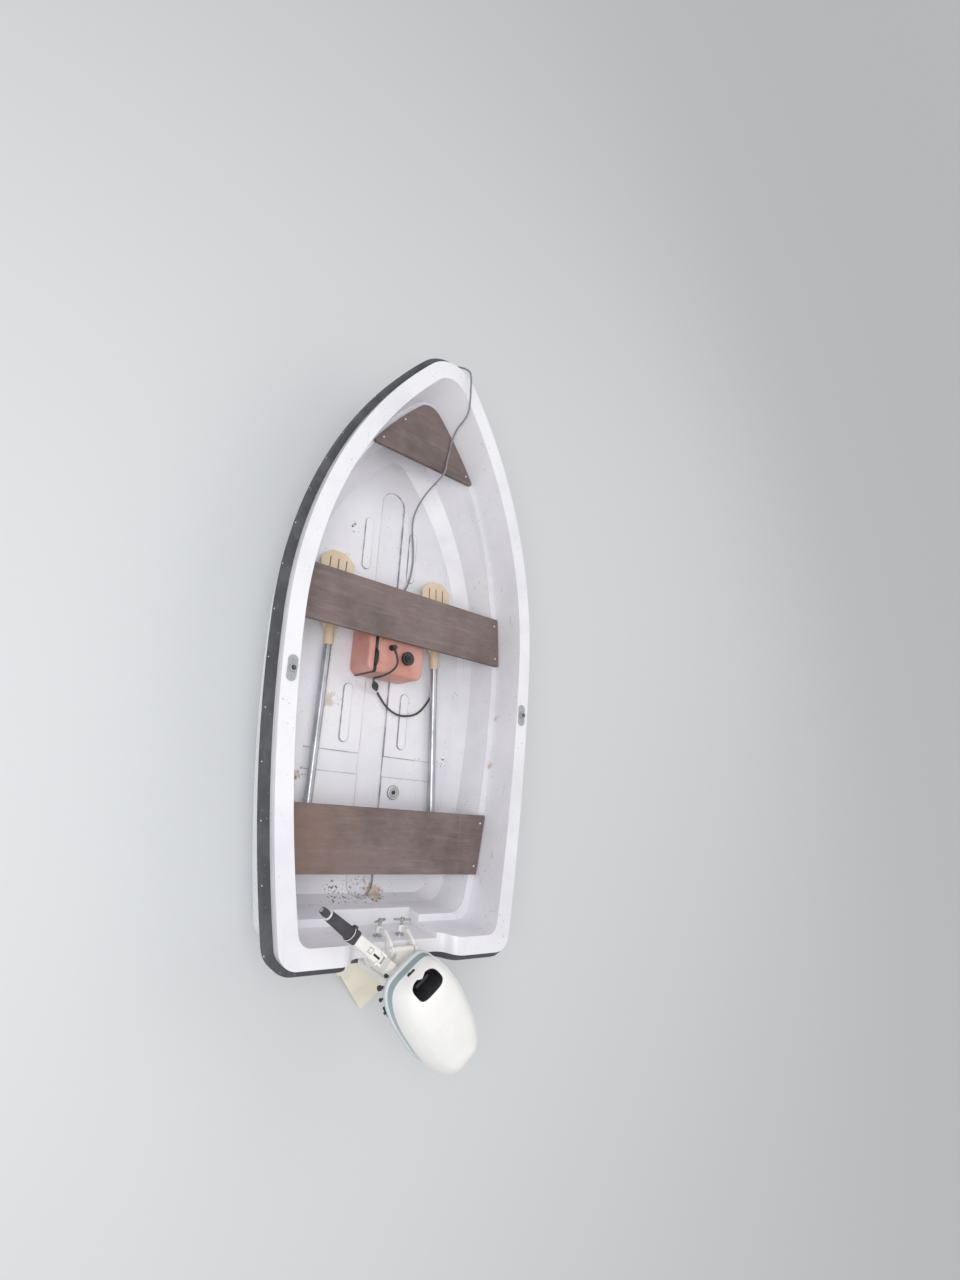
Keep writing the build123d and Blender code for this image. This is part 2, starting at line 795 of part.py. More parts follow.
clamp_screw_port = clamp_screw(1, 24.0, "clamp_screw_port")
clamp_screw_starboard = clamp_screw(-1, -12.0, "clamp_screw_starboard")

# Swivel bracket, which tilts on the clamp's pin and carries the steering shaft. Its covered
# top reaches over the transom
lug_r = pin_boss_r
lug_half = cheek_in - 3.0
web_half = 18.0
cover_half = 33.0
cover_from = 27.0
cover_top = 20.0
cover_low = -12.0

with BuildPart() as swivel_bracket:
    with BuildSketch(swivel.offset(swivel_low)):
        Circle(swivel_r)
    extrude(amount=swivel_high - swivel_low)
    with BuildSketch(beside(swivel)):
        Polygon(
            (8.0, swivel_low),
            (34.0, swivel_low),
            (stop_x - 6.5, stop_z + 20.0),
            (stop_x - 6.5, -60.0),
            (lip_x - 9.0, -34.0),
            (lip_x - 7.0, cover_low),
            (cover_from, cover_low + 10.0),
            (cover_from, swivel_high),
            (8.0, swivel_high),
            align=None,
        )
    extrude(amount=web_half, both=True)
    with BuildSketch(beside(swivel)):
        Polygon(
            (cover_from, swivel_high),
            (lip_x - 9.0, cover_low - 6.0),
            (tilt_pin_x, tilt_pin_z - lug_r),
            (tilt_pin_x, tilt_pin_z + lug_r),
            (cover_from + 10.0, cover_top),
            (cover_from, cover_top - 8.0),
            align=None,
        )
        with Locations((tilt_pin_x, tilt_pin_z)):
            Circle(lug_r)
    extrude(amount=cover_half, both=True)
    with BuildSketch(beside(swivel)):
        with Locations((tilt_pin_x, tilt_pin_z)):
            Circle(lug_r - 2.0)
    extrude(amount=lug_half, both=True)
    with BuildSketch(beside(swivel)):
        with Locations((tilt_pin_x, tilt_pin_z)):
            Circle(tilt_pin_r + run_gap)
    extrude(amount=lug_half + 5.0, both=True, mode=Mode.SUBTRACT)
    with BuildSketch(swivel.offset(swivel_low - 5.0)):
        Circle(shaft_r + run_gap)
    extrude(amount=swivel_high - swivel_low + 10.0, mode=Mode.SUBTRACT)
swivel_bracket.part.label = "swivel_bracket"

# Steering shaft with its two yokes, which carry the leg behind it
yoke_gap = 3.0
yoke_high = 12.0
yoke_low = 25.0
yoke_r = 20.0
leg_front = 30.0

with BuildPart() as steering_yoke:
    with BuildSketch(motor.offset(swivel_low - yoke_gap - yoke_low)):
        Circle(shaft_r)
    extrude(amount=swivel_high + yoke_gap + 2 * yoke_high - (swivel_low - yoke_gap - yoke_low) - 12.0)
    for bottom, thick in ((swivel_high + yoke_gap, 24.0), (swivel_low - yoke_gap - yoke_low, yoke_low)):
        with BuildSketch(motor.offset(bottom)):
            Circle(yoke_r)
            with Locations((-(leg_front - seat_gap) / 2, 0.0)):
                Rectangle(leg_front - seat_gap, 2 * yoke_r)
        extrude(amount=thick)
steering_yoke.part.label = "steering_yoke"

# Leg, from the powerhead down to the plate
plate_z = -335.0
pan_bottom = 58.0

with BuildPart() as leg:
    loft(
        [
            level(Plan(pan_bottom - seat_gap, leg_front, 128.0, 36.0, 30.0, 16.0, 10.0), 0, motor, -1, 62),
            level(Plan(-120.0, leg_front, 126.0, 30.0, 25.0, 13.0, 9.0), 0, motor, -1, 62),
            level(Plan(plate_z + 6.0 + seat_gap, leg_front + 4, 140.0, 20.0, 16.0, 7.0, 6.0), 0, motor, -1, 70),
        ],
        ruled=True,
    )
leg.part.label = "leg"

# Gearcase: the flat plate above the propeller, the strut, the torpedo and the skeg
prop_z = plate_z - 108.0
torpedo_r = 30.0
torpedo_end = -148.0
prop_shaft_r = 7.0
prop_shaft_from = -96.0

with BuildPart() as gearcase:
    with BuildSketch(motor.offset(plate_z)):
        plate = Polygon(
            (-18.0, 14.0),
            (-95.0, 74.0),
            (-236.0, 82.0),
            (-250.0, 68.0),
            (-250.0, -68.0),
            (-236.0, -82.0),
            (-95.0, -74.0),
            (-18.0, -14.0),
            align=None,
        )
        fillet(plate.vertices(), 9.0)
    extrude(amount=6.0)
    loft(
        [
            level(Plan(plate_z + 1.0, 30.0, 150.0, 19.0, 15.0, 6.0, 6.0), 0, motor, -1, 70),
            level(Plan(prop_z, 14.0, 140.0, 24.0, 20.0, 8.0, 8.0), 0, motor, -1, 60),
        ],
        ruled=True,
    )
    with BuildSketch(motor.offset(prop_z)):
        with BuildLine():
            nose = ThreePointArc((26.0, 0.0), (9.0, 19.0), (-22.0, torpedo_r))
            Polyline(
                nose @ 1,
                (torpedo_end + 28.0, torpedo_r),
                (torpedo_end, 24.0),
                (torpedo_end, 0.0),
                (26.0, 0.0),
            )
        make_face()
    revolve(axis=Axis(motor.origin + motor.z_dir * prop_z, motor.x_dir))
    with BuildSketch(beside(motor)):
        Polygon(
            (-8.0, prop_z - 20.0),
            (-66.0, prop_z - 104.0),
            (-108.0, prop_z - 104.0),
            (-112.0, prop_z - 20.0),
            align=None,
        )
    extrude(amount=4.0, both=True)
    with BuildSketch(across(motor, prop_shaft_from + seat_gap)):
        with Locations((0.0, prop_z)):
            Circle(prop_shaft_r + run_gap)
    extrude(amount=torpedo_end - prop_shaft_from - 5.0, mode=Mode.SUBTRACT)
gearcase.part.label = "gearcase"

# Propeller with three twisted blades
prop_front = torpedo_end - 3.0
hub_r = 21.0
hub_length = 56.0
nut_deep = 12.0
prop_centre = motor.origin + motor.z_dir * prop_z + motor.x_dir * (prop_front - hub_length / 2)
prop_base = Plane(origin=prop_centre, x_dir=motor.x_dir, z_dir=motor.z_dir)

# Sections of a blade: distance from the axis, turn from it, chord, thickness
Section = namedtuple("Section", "reach pitch chord thick")
screw_table = [
    Section(hub_r - 6.0, 52.0, 46.0, 6.0),
    Section(56.0, 36.0, 62.0, 5.0),
    Section(92.0, 24.0, 34.0, 3.0),
]

with BuildPart() as propeller:
    with BuildSketch(across(motor, prop_front)):
        with Locations((0.0, prop_z)):
            Circle(hub_r)
            Circle(prop_shaft_r + run_gap, mode=Mode.SUBTRACT)
    extrude(amount=-hub_length)
    for turn in (0.0, 120.0, 240.0):
        spoke = rolled(prop_base, turn)
        sections = []
        for row in screw_table:
            with BuildSketch(turned(spoke.offset(row.reach), row.pitch)) as section:
                Polygon(
                    (-row.chord / 2, 0.0),
                    (-row.chord / 4, row.thick / 2),
                    (row.chord / 4, row.thick / 2),
                    (row.chord / 2, 0.0),
                    (row.chord / 4, -row.thick / 2),
                    (-row.chord / 4, -row.thick / 2),
                    align=None,
                )
            sections.append(section.sketch)
        loft(sections, ruled=True)
propeller.part.label = "propeller"

with BuildPart() as prop_shaft:
    with BuildSketch(across(motor, prop_shaft_from)):
        with Locations((0.0, prop_z)):
            Circle(prop_shaft_r)
    extrude(amount=prop_front - hub_length - nut_deep - prop_shaft_from)
prop_shaft.part.label = "prop_shaft"

with BuildPart() as prop_nut:
    back = -hub_length / 2 - seat_gap
    with BuildSketch(prop_base):
        Polygon(
            (back, prop_shaft_r + run_gap),
            (back, 15.0),
            (back - 8.0, 15.0),
            (back - 24.0, 6.0),
            (back - 24.0, 0.0),
            (back - nut_deep, 0.0),
            (back - nut_deep, prop_shaft_r + run_gap),
            align=None,
        )
    revolve(axis=Axis(prop_centre, motor.x_dir))
prop_nut.part.label = "prop_nut"

# Powerhead: lower pan, trim band and cowl, seen from above blunt in front and narrow behind
cowl_widest = 20.0
pan_top = 92.0
band_top = 104.0
cowl_from = band_top + seat_gap
pan_plans = [
    Plan(pan_bottom, -88.0, 232.0, 82.0, 58.0, 50.0, 30.0),
    Plan(pan_top, -136.0, 284.0, 113.0, 80.0, 66.0, 42.0),
]
band_plan = Plan(pan_top + seat_gap, -141.0, 289.0, 118.0, 84.0, 70.0, 45.0)
cowl_plans = [
    Plan(cowl_from, -143.0, 291.0, 120.0, 86.0, 71.0, 46.0),
    Plan(150.0, -141.0, 290.0, 119.5, 85.0, 70.0, 46.0),
    Plan(200.0, -128.0, 284.0, 112.0, 76.0, 66.0, 44.0),
    Plan(234.0, -104.0, 262.0, 94.0, 58.0, 56.0, 38.0),
    Plan(250.0, -66.0, 222.0, 62.0, 34.0, 38.0, 24.0),
]

with BuildPart() as lower_pan:
    loft([level(plan, 0, motor, -1, cowl_widest) for plan in pan_plans], ruled=True)
lower_pan.part.label = "lower_pan"

with BuildPart() as cowl_band:
    add(level(band_plan, 0, motor, -1, cowl_widest))
    extrude(amount=band_top - pan_top - seat_gap, dir=tuple(motor.z_dir))
cowl_band.part.label = "cowl_band"

recess_x = 74.0
recess_size = (80.0, 104.0)
recess_round = 26.0
recess_floor = 184.0

with BuildPart() as cowl:
    loft([level(plan, 0, motor, -1, cowl_widest) for plan in cowl_plans])
    with BuildSketch(motor.offset(recess_floor)):
        with Locations((recess_x, 0.0)):
            RectangleRounded(recess_size[0], recess_size[1], recess_round)
    extrude(amount=100.0, mode=Mode.SUBTRACT)
cowl.part.label = "cowl"

with BuildPart() as starter_recess:
    with BuildSketch(motor.offset(recess_floor + seat_gap)):
        with Locations((recess_x, 0.0)):
            RectangleRounded(recess_size[0] - 2, recess_size[1] - 2, recess_round - 1)
    extrude(amount=6.0)
    with BuildSketch(motor.offset(recess_floor + 6.0)):
        with Locations((recess_x + 8.0, 0.0)):
            SlotOverall(72.0, 20.0, rotation=90)
    extrude(amount=20.0)
starter_recess.part.label = "starter_recess"

# Tiller: bracket under the pan, folding arm, twist grip
pivot_x = 190.0
pivot_z = 82.0
ear_in = 13.5
ear_out = 22.0
tongue_half = 12.5
pivot_r = 6.0
bracket_low = 27.0

with BuildPart() as tiller_bracket:
    with BuildSketch(beside(helm)):
        Polygon(
            (26.0, bracket_low),
            (120.0, bracket_low),
            (190.0, 56.0),
            (204.0, 68.0),
            (204.0, 96.0),
            (176.0, 96.0),
            (160.0, 64.0),
            (110.0, 50.0),
            (84.0, pan_bottom - seat_gap),
            (26.0, pan_bottom - seat_gap),
            align=None,
        )
    extrude(amount=ear_out, both=True)
    with BuildSketch(beside(helm)):
        with Locations((pivot_x, pivot_z)):
            Circle(17.0)
        with Locations((pivot_x + 20.0, pivot_z + 10.0)):
            Rectangle(40.0, 54.0)
        with Locations((pivot_x, pivot_z + 18.0)):
            Rectangle(28.0, 36.0)
    extrude(amount=ear_in, both=True, mode=Mode.SUBTRACT)
    with BuildSketch(beside(helm)):
        with Locations((pivot_x, pivot_z)):
            Circle(pivot_r)
    extrude(amount=ear_out + 4.0, both=True)
tiller_bracket.part.label = "tiller_bracket"

arm_from = 212.0
arm_to = 350.0
arm_root = (24.0, 21.0)
arm_end = (19.0, 18.0)
arm_round = 8.0
tongue_r = 11.5

with BuildPart() as tiller_arm:
    with BuildSketch(beside(helm)):
        Polygon(
            (arm_from, pivot_z - arm_root[1]),
            (arm_from, pivot_z + arm_root[1]),
            (arm_to, pivot_z + arm_end[1]),
            (arm_to, pivot_z - arm_end[1]),
            align=None,
        )
    extrude(amount=arm_root[0] + 1.0, both=True)
    with BuildSketch(helm.offset(pivot_z)):
        Polygon(
            (arm_from, -arm_root[0]),
            (arm_from, arm_root[0]),
            (arm_to, arm_end[0]),
            (arm_to, -arm_end[0]),
            align=None,
        )
    extrude(amount=arm_root[1] + 1.0, both=True, mode=Mode.INTERSECT)
    fillet(tiller_arm.edges().filter_by(lambda edge: edge.length > (arm_to - arm_from) / 2), arm_round)
    with BuildSketch(beside(helm)):
        with Locations((pivot_x, pivot_z)):
            Circle(tongue_r)
        with Locations(((pivot_x + arm_from) / 2 + 2.0, pivot_z)):
            Rectangle(arm_from - pivot_x + 4.0, 2 * tongue_r)
    extrude(amount=tongue_half, both=True)
    with BuildSketch(beside(helm)):
        with Locations((pivot_x, pivot_z)):
            Circle(pivot_r + run_gap)
    extrude(amount=tongue_half + 4.0, both=True, mode=Mode.SUBTRACT)
tiller_arm.part.label = "tiller_arm"

# Stations along the tiller, each from, to, radius at both ends
Turned = namedtuple("Turned", "name start end first_r last_r")
grip_table = [
    Turned("tiller_collar", arm_to, 364.0, 27.0, 26.0),
    Turned("tiller_grip", 364.0, 452.0, 22.5, 19.5),
    Turned("grip_ring", 452.0, 457.0, 18.5, 18.5),
    Turned("grip_knob", 457.0, 482.0, 13.5, 12.0),
]


def turned_piece(row):
    with BuildPart() as body:
        with BuildSketch(helm.offset(pivot_z)):
            Polygon(
                (row.start + seat_gap, 0.0),
                (row.start + seat_gap, row.first_r),
                (row.end - 2.0, row.last_r),
                (row.end, row.last_r - 2.0),
                (row.end, 0.0),
                align=None,
            )
        revolve(axis=Axis(helm.origin + helm.z_dir * pivot_z, helm.x_dir))
    body.part.label = row.name
    return body


# Cords: straight runs joined by arcs as large as the runs allow
arc_share = 0.45


def cord_tube(points, diameter, name):
    """Tube along a route, and a line about its length and its arcs."""
    radii = []
    for before, at, after in zip(points, points[1:], points[2:]):
        first = Vector(at) - Vector(before)
        second = Vector(after) - Vector(at)
        half_turn = radians(first.get_angle(second)) / 2
        radii.append(arc_share * min(first.length, second.length) / tan(half_turn))
    with BuildPart() as tube:
        with BuildLine():
            path = FilletPolyline(*points, radius=radii)
        with BuildSketch(Plane(origin=path @ 0, z_dir=path % 0)):
            Circle(diameter / 2)
        sweep()
    tube.part.label = name
    wanted = pi * diameter**2 / 4 * path.length
    print(name, "length", round(path.length), "volume share", round(tube.part.volume / wanted, 3))
    print("  radii in diameters", [round(radius / diameter, 1) for radius in radii])
    return tube


def coil_ring(centre, reach, diameter, name):
    """Outer shape of one layer of turns, lying flat on the floor."""
    with BuildPart() as ring:
        with BuildSketch(Plane.XY.offset(floor_z + seat_gap)):
            with Locations(centre):
                Circle(reach[1] + diameter / 2 + 0.2)
                Circle(reach[0] - diameter / 2 - 0.2, mode=Mode.SUBTRACT)
        extrude(amount=diameter + 0.2)
        fillet(ring.edges(), diameter / 2 - 0.5)
    ring.part.label = name
    return ring


# Fuel line: tank outlet, primer bulb, then over the floor to a coil under the middle thwart
hose_d = 9.0
tank_hose_route = [
    tuple(barb_end),
    tuple(barb_end + barb_way * 31.0),
    (1119.0, 29.0, 243.0),
    (1093.0, 50.0, 238.0),
    (1074.0, 76.0, 222.0),
    (1066.0, 93.0, 192.0),
    (1068.0, 88.0, 158.0),
    (1057.5, 65.0, 135.0),
]
bulb_length = 66.0
bulb_r = 14.5
bulb_end_r = 8.0
bulb_from = Vector(tank_hose_route[-1])
bulb_way = (bulb_from - Vector(tank_hose_route[-2])).normalized()
bulb_to = bulb_from + bulb_way * bulb_length
hose_route = [
    tuple(bulb_to + bulb_way * run_gap),
    tuple(bulb_to + bulb_way * 30.0),
    (1008.0, -23.0, 66.0),
    (983.0, -43.0, 69.0),
    (958.0, -74.0, 76.0),
    (941.0, -118.0, 84.0),
    (950.0, -182.0, 84.0),
    (970.0, -230.0, 73.6),
    (1003.0, -262.0, 73.3),
    (1044.0, -289.0, 73.3),
    (1090.0, -312.0, 73.3),
    (1141.0, -322.0, 73.3),
    (1192.0, -317.0, 73.3),
    (1240.0, -300.0, 73.3),
    (1285.0, -275.0, 73.3),
    (1331.0, -250.0, 73.3),
    (1380.0, -232.0, 73.3),
]
hose_coil_at = (1402.0, -150.0)
hose_coil_reach = (44.0, 72.0)

fuel_hose_tank = cord_tube(tank_hose_route, hose_d, "fuel_hose_tank")
fuel_hose = cord_tube(hose_route, hose_d, "fuel_hose")
fuel_hose_coil = coil_ring(hose_coil_at, hose_coil_reach, hose_d, "fuel_hose_coil")

bulb_axis = Plane(origin=bulb_from, x_dir=bulb_way, z_dir=(0.0, bulb_way.Z, -bulb_way.Y))

with BuildPart() as primer_bulb:
    with BuildSketch(bulb_axis):
        with BuildLine():
            swell = ThreePointArc(
                (10.0, bulb_end_r),
                (bulb_length / 2, bulb_r),
                (bulb_length - 10.0, bulb_end_r),
            )
            Polyline(
                swell @ 1,
                (bulb_length, bulb_end_r),
                (bulb_length, 0.0),
                (0.0, 0.0),
                (0.0, bulb_end_r),
                swell @ 0,
            )
        make_face()
    revolve(axis=Axis(bulb_from, bulb_way))
primer_bulb.part.label = "primer_bulb"

# Connector at the line's end, lying on the coil
connector_r = 8.0
connector_length = 42.0
connector_from = (1422.0, -98.0, floor_z + seat_gap + hose_d + 0.5 + connector_r)
connector_way = Vector(-1.0, 0.05, 0.0).normalized()

with BuildPart() as hose_connector:
    with BuildSketch(Plane(origin=connector_from, z_dir=connector_way)):
        Circle(connector_r)
    extrude(amount=connector_length - 12.0)
    with BuildSketch(Plane(origin=connector_from, z_dir=connector_way).offset(connector_length - 12.0)):
        Circle(connector_r - 2.5)
    extrude(amount=12.0)
hose_connector.part.label = "hose_connector"

# Painter: tied to the bow eye, over the gunwale and the bow thwart, and along the floor to
# a coil under the middle thwart
painter_d = 8.0
painter_route = [
    (2524.0, -3.0, 313.8),
    (2548.0, -13.0, 347.0),
    (2562.0, -36.0, 392.0),
    (2552.0, -62.0, 436.0),
    (2520.0, -80.0, 476.0),
    (2474.0, -90.0, 488.0),
    (2424.0, -101.0, 478.0),
    (2365.0, -112.0, 470.0),
    (2320.0, -119.0, 458.0),
    (2302.0, -124.0, 418.0),
    (2297.0, -128.0, 372.0),
    (2282.0, -131.0, 332.0),
    (2246.0, -131.5, 309.5),
    (2196.0, -126.0, 306.5),
    (2130.0, -112.0, 307.5),
    (2076.0, -104.0, 316.0),
    (2046.0, -101.0, 282.0),
    (2024.0, -101.0, 222.0),
    (1996.0, -103.0, 160.0),
    (1952.0, -106.0, 106.0),
    (1898.0, -105.0, 80.0),
    (1838.0, -107.0, 81.0),
    (1766.0, -122.0, 79.0),
    (1690.0, -130.0, 79.0),
    (1612.0, -122.0, 80.0),
    (1540.0, -102.0, 78.0),
    (1496.0, -62.0, 77.0),
    (1480.0, -12.0, 70.0),
    (1483.0, 42.0, 74.0),
    (1486.0, 88.0, 76.0),
]
painter_coil_at = (1412.0, 135.0)
painter_coil_reach = (28.0, 62.0)

painter = cord_tube(painter_route, painter_d, "painter")
painter_coil = coil_ring(painter_coil_at, painter_coil_reach, painter_d, "painter_coil")

knot_r = 11.0
with BuildPart() as painter_knot:
    with BuildSketch(Plane.XY.offset(eye_z - knot_r)):
        with Locations((eye_out + eye_bar_r + seat_gap + knot_r, 0.0)):
            Circle(knot_r)
    extrude(amount=2 * knot_r)
    fillet(painter_knot.edges(), 5.0)
painter_knot.part.label = "painter_knot"

end_knot_r = 10.0
with BuildPart() as painter_end:
    with BuildSketch(Plane.XY.offset(floor_z + 2 * seat_gap + painter_d + 0.2)):
        with Locations((painter_coil_at[0] - 20.0, painter_coil_at[1] - 40.0)):
            Circle(end_knot_r)
    extrude(amount=2 * end_knot_r - 2.0)
    fillet(painter_end.edges(), 6.0)
painter_end.part.label = "painter_end"


pieces = [
    hull,
    liner,
    rub_rail,
    thwart_aft,
    thwart_middle,
    thwart_bow,
    oarlock_port,
    oarlock_starboard,
    drain,
    bow_eye,
    fuel_tank,
    tank_cap,
    tank_outlet,
    clamp_bracket,
    clamp_screw_port,
    clamp_screw_starboard,
    swivel_bracket,
    steering_yoke,
    leg,
    gearcase,
    prop_shaft,
    propeller,
    prop_nut,
    lower_pan,
    cowl_band,
    cowl,
    starter_recess,
    tiller_bracket,
    tiller_arm,
]
pieces += [turned_piece(row) for row in grip_table]
for oar in oars:
    pieces += oar_pieces(oar)

pieces += [
    fuel_hose_tank,
    primer_bulb,
    fuel_hose,
    fuel_hose_coil,
    hose_connector,
    painter_knot,
    painter,
    painter_coil,
    painter_end,
]

os.makedirs("parts", exist_ok=True)
for piece in pieces:
    export_step(piece.part, f"parts/{piece.part.label}.step")
    print(piece.part.label, len(piece.part.solids()), round(piece.part.volume / 1e6, 2))
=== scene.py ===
"""Looks of a moulded tender dinghy and its outboard motor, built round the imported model, in metres."""

from __future__ import annotations

import json
import logging
import math
from dataclasses import dataclass
from enum import Enum

import bmesh
import bpy
from mathutils import Matrix, Vector
from mathutils.bvhtree import BVHTree

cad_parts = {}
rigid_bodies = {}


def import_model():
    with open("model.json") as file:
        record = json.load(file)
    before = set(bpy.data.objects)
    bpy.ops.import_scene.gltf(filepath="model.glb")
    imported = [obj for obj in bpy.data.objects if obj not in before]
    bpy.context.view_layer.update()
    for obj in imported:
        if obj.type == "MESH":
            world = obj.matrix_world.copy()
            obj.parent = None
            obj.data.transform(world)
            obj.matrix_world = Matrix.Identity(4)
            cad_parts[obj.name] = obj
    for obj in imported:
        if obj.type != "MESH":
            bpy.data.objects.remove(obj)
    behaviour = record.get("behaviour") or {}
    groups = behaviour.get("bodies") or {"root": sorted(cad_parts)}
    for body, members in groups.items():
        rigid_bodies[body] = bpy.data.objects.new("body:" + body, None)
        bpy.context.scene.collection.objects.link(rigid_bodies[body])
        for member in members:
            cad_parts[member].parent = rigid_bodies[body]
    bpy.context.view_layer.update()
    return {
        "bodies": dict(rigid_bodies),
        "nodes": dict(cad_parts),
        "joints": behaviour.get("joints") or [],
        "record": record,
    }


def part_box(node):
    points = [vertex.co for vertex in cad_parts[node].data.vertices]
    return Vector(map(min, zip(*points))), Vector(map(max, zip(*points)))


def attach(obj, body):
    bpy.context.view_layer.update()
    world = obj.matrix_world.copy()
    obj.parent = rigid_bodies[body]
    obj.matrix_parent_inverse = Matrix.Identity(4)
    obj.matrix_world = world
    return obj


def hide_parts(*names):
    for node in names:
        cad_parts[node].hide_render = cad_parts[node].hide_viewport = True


log = logging.getLogger("dinghy")

Point = tuple[float, float, float]
Colour = tuple[float, float, float, float]
MM = 0.001
UP = Vector((0.0, 0.0, 1.0))


class Body(str, Enum):
    """Bodies of the frame that pieces ride on."""

    BOAT = "root"
    MOTOR = "motor"
    TILLER = "tiller"


class Slot(str, Enum):
    """Finishes, named as the record names its material slots."""

    GELCOAT = "gelcoat"
    GELCOAT_INNER = "gelcoat_inner"
    FENDER_RUBBER = "fender_rubber"
    PLYWOOD = "plywood"
    GREY_NYLON = "grey_nylon"
    DRAIN_PLASTIC = "drain_plastic"
    STAINLESS = "stainless"
    TANK_PLASTIC = "tank_plastic"
    BLACK_PLASTIC = "black_plastic"
    MOTOR_PAINT = "motor_paint"
    CREAM_PAINT = "cream_paint"
    COWL_PAINT = "cowl_paint"
    TRIM_BLUE = "trim_blue"
    PROP_ALLOY = "prop_alloy"
    GRIP_RUBBER = "grip_rubber"
    RING_WHITE = "ring_white"
    OAR_ALLOY = "oar_alloy"
    OAR_GRIP_PLASTIC = "oar_grip_plastic"
    BLADE_PLASTIC = "blade_plastic"
    HOSE_RUBBER = "hose_rubber"
    PAINTER_ROPE = "painter_rope"


def linear(value: int) -> float:
    """One channel of a screen's colour, from 0 to 255, in linear light."""
    share = value / 255
    return share / 12.92 if share <= 0.04045 else ((share + 0.055) / 1.055) ** 2.4


def srgb(red: int, green: int, blue: int) -> Colour:
    """A colour as a screen shows it, turned into linear light."""
    return (linear(red), linear(green), linear(blue), 1.0)


# Shader trees


class Tree:
    """A node tree with short calls for its nodes and links."""

    def __init__(self, tree: bpy.types.NodeTree) -> None:
        """Keeps the tree."""
        self.tree = tree

    def link(self, source: bpy.types.NodeSocket, target: bpy.types.NodeSocket) -> None:
        """Feeds one socket from another."""
        self.tree.links.new(source, target)

    def node(self, kind: str, values: dict | None = None, **settings: object) -> bpy.types.Node:
        """Adds a node.

        Args:
            kind: Blender's type name.
            values: Socket name or number to a value, or to a socket that feeds it.
            settings: Attributes of the node.

        Returns:
            The node.
        """
        made = self.tree.nodes.new(kind)
        for key, value in settings.items():
            setattr(made, key, value)
        for key, value in (values or {}).items():
            if isinstance(value, bpy.types.NodeSocket):
                self.link(value, made.inputs[key])
            else:
                made.inputs[key].default_value = value
        return made

    def maths(self, operation: str, first: object, second: object = 0.0) -> bpy.types.NodeSocket:
        """Output of a Math node."""
        return self.node("ShaderNodeMath", {0: first, 1: second}, operation=operation).outputs[0]

    def times(self, first: object, second: object) -> bpy.types.NodeSocket:
        """Product of two values."""
        return self.maths("MULTIPLY", first, second)

    def vector(self, operation: str, first: object, second: object) -> bpy.types.Node:
        """A Vector Math node."""
        return self.node("ShaderNodeVectorMath", {0: first, 1: second}, operation=operation)

    def split(self, vector: object) -> bpy.types.NodeOutputs:
        """X, Y and Z of a vector."""
        return self.node("ShaderNodeSeparateXYZ", {0: vector}).outputs

    def mix(self, share: object, first: object, second: object) -> bpy.types.NodeSocket:
        """Colour between two colours, by a share from 0 to 1."""
        values = {0: share, 6: first, 7: second}
        return self.node("ShaderNodeMix", values, data_type="RGBA").outputs[2]

    def lay(self, over: object, colour: object, mask: object, share: object) -> bpy.types.NodeSocket:
        """Lays a colour over another one.

        Args:
            over: The colour that it is laid over.
            colour: The colour that is laid.
            mask: Where it shows.
            share: How much of it shows there.

        Returns:
            The output socket.
        """
        return self.mix(self.times(mask, share), over, colour)

    def ramp(
        self, value: object, low: float, high: float, to_low: float = 0.0, to_high: float = 1.0
    ) -> bpy.types.NodeSocket:
        """Value brought smoothly from one range to another.

        Args:
            value: The socket that is read.
            low: Where the range starts.
            high: Where it ends.
            to_low: Result at the start.
            to_high: Result at the end.

        Returns:
            The output socket.
        """
        values = {"Value": value, 1: low, 2: high, 3: to_low, 4: to_high}
        return self.node("ShaderNodeMapRange", values, interpolation_type="SMOOTHSTEP").outputs[0]

    def place(self) -> bpy.types.NodeSocket:
        """Object coordinates."""
        return self.node("ShaderNodeTexCoord").outputs["Object"]

    def noise(
        self, place: object, scale: object, detail: float = 4.0, rough: float = 0.55
    ) -> bpy.types.NodeSocket:
        """Noise over a place.

        Args:
            place: Coordinates.
            scale: Size of the pattern, larger is finer.
            detail: Number of octaves.
            rough: Weight of the finer octaves.

        Returns:
            The factor's socket.
        """
        values = {"Vector": place, "Scale": scale, "Detail": detail, "Roughness": rough}
        return self.node("ShaderNodeTexNoise", values).outputs[0]

    def group(self, group: bpy.types.NodeTree, **values: object) -> bpy.types.NodeSocket:
        """Output of a shared group, placed with its own values."""
        return self.node("ShaderNodeGroup", values, node_tree=group).outputs[0]


class Group(Tree):
    """A shader group with one output, while it is built."""

    def __init__(self, name: str, inputs: dict, output: str = "Mask", kind: str = "NodeSocketFloat") -> None:
        """Starts the group.

        Args:
            name: Its name.
            inputs: Input name to default value.
            output: Name of its output.
            kind: Socket type of its output.
        """
        super().__init__(bpy.data.node_groups.new(name, "ShaderNodeTree"))
        sockets = self.tree.interface
        for key, default in inputs.items():
            form = "NodeSocketVector" if isinstance(default, tuple) else "NodeSocketFloat"
            sockets.new_socket(name=key, in_out="INPUT", socket_type=form).default_value = default
        sockets.new_socket(name=output, in_out="OUTPUT", socket_type=kind)
        self.start = self.node("NodeGroupInput")
        self.end = self.node("NodeGroupOutput")

    def given(self, name: str) -> bpy.types.NodeSocket:
        """One of the group's inputs."""
        return self.start.outputs[name]

    def done(self, result: bpy.types.NodeSocket) -> bpy.types.NodeTree:
        """Puts the result out and hands over the group."""
        self.link(result, self.end.inputs[0])
        return self.tree


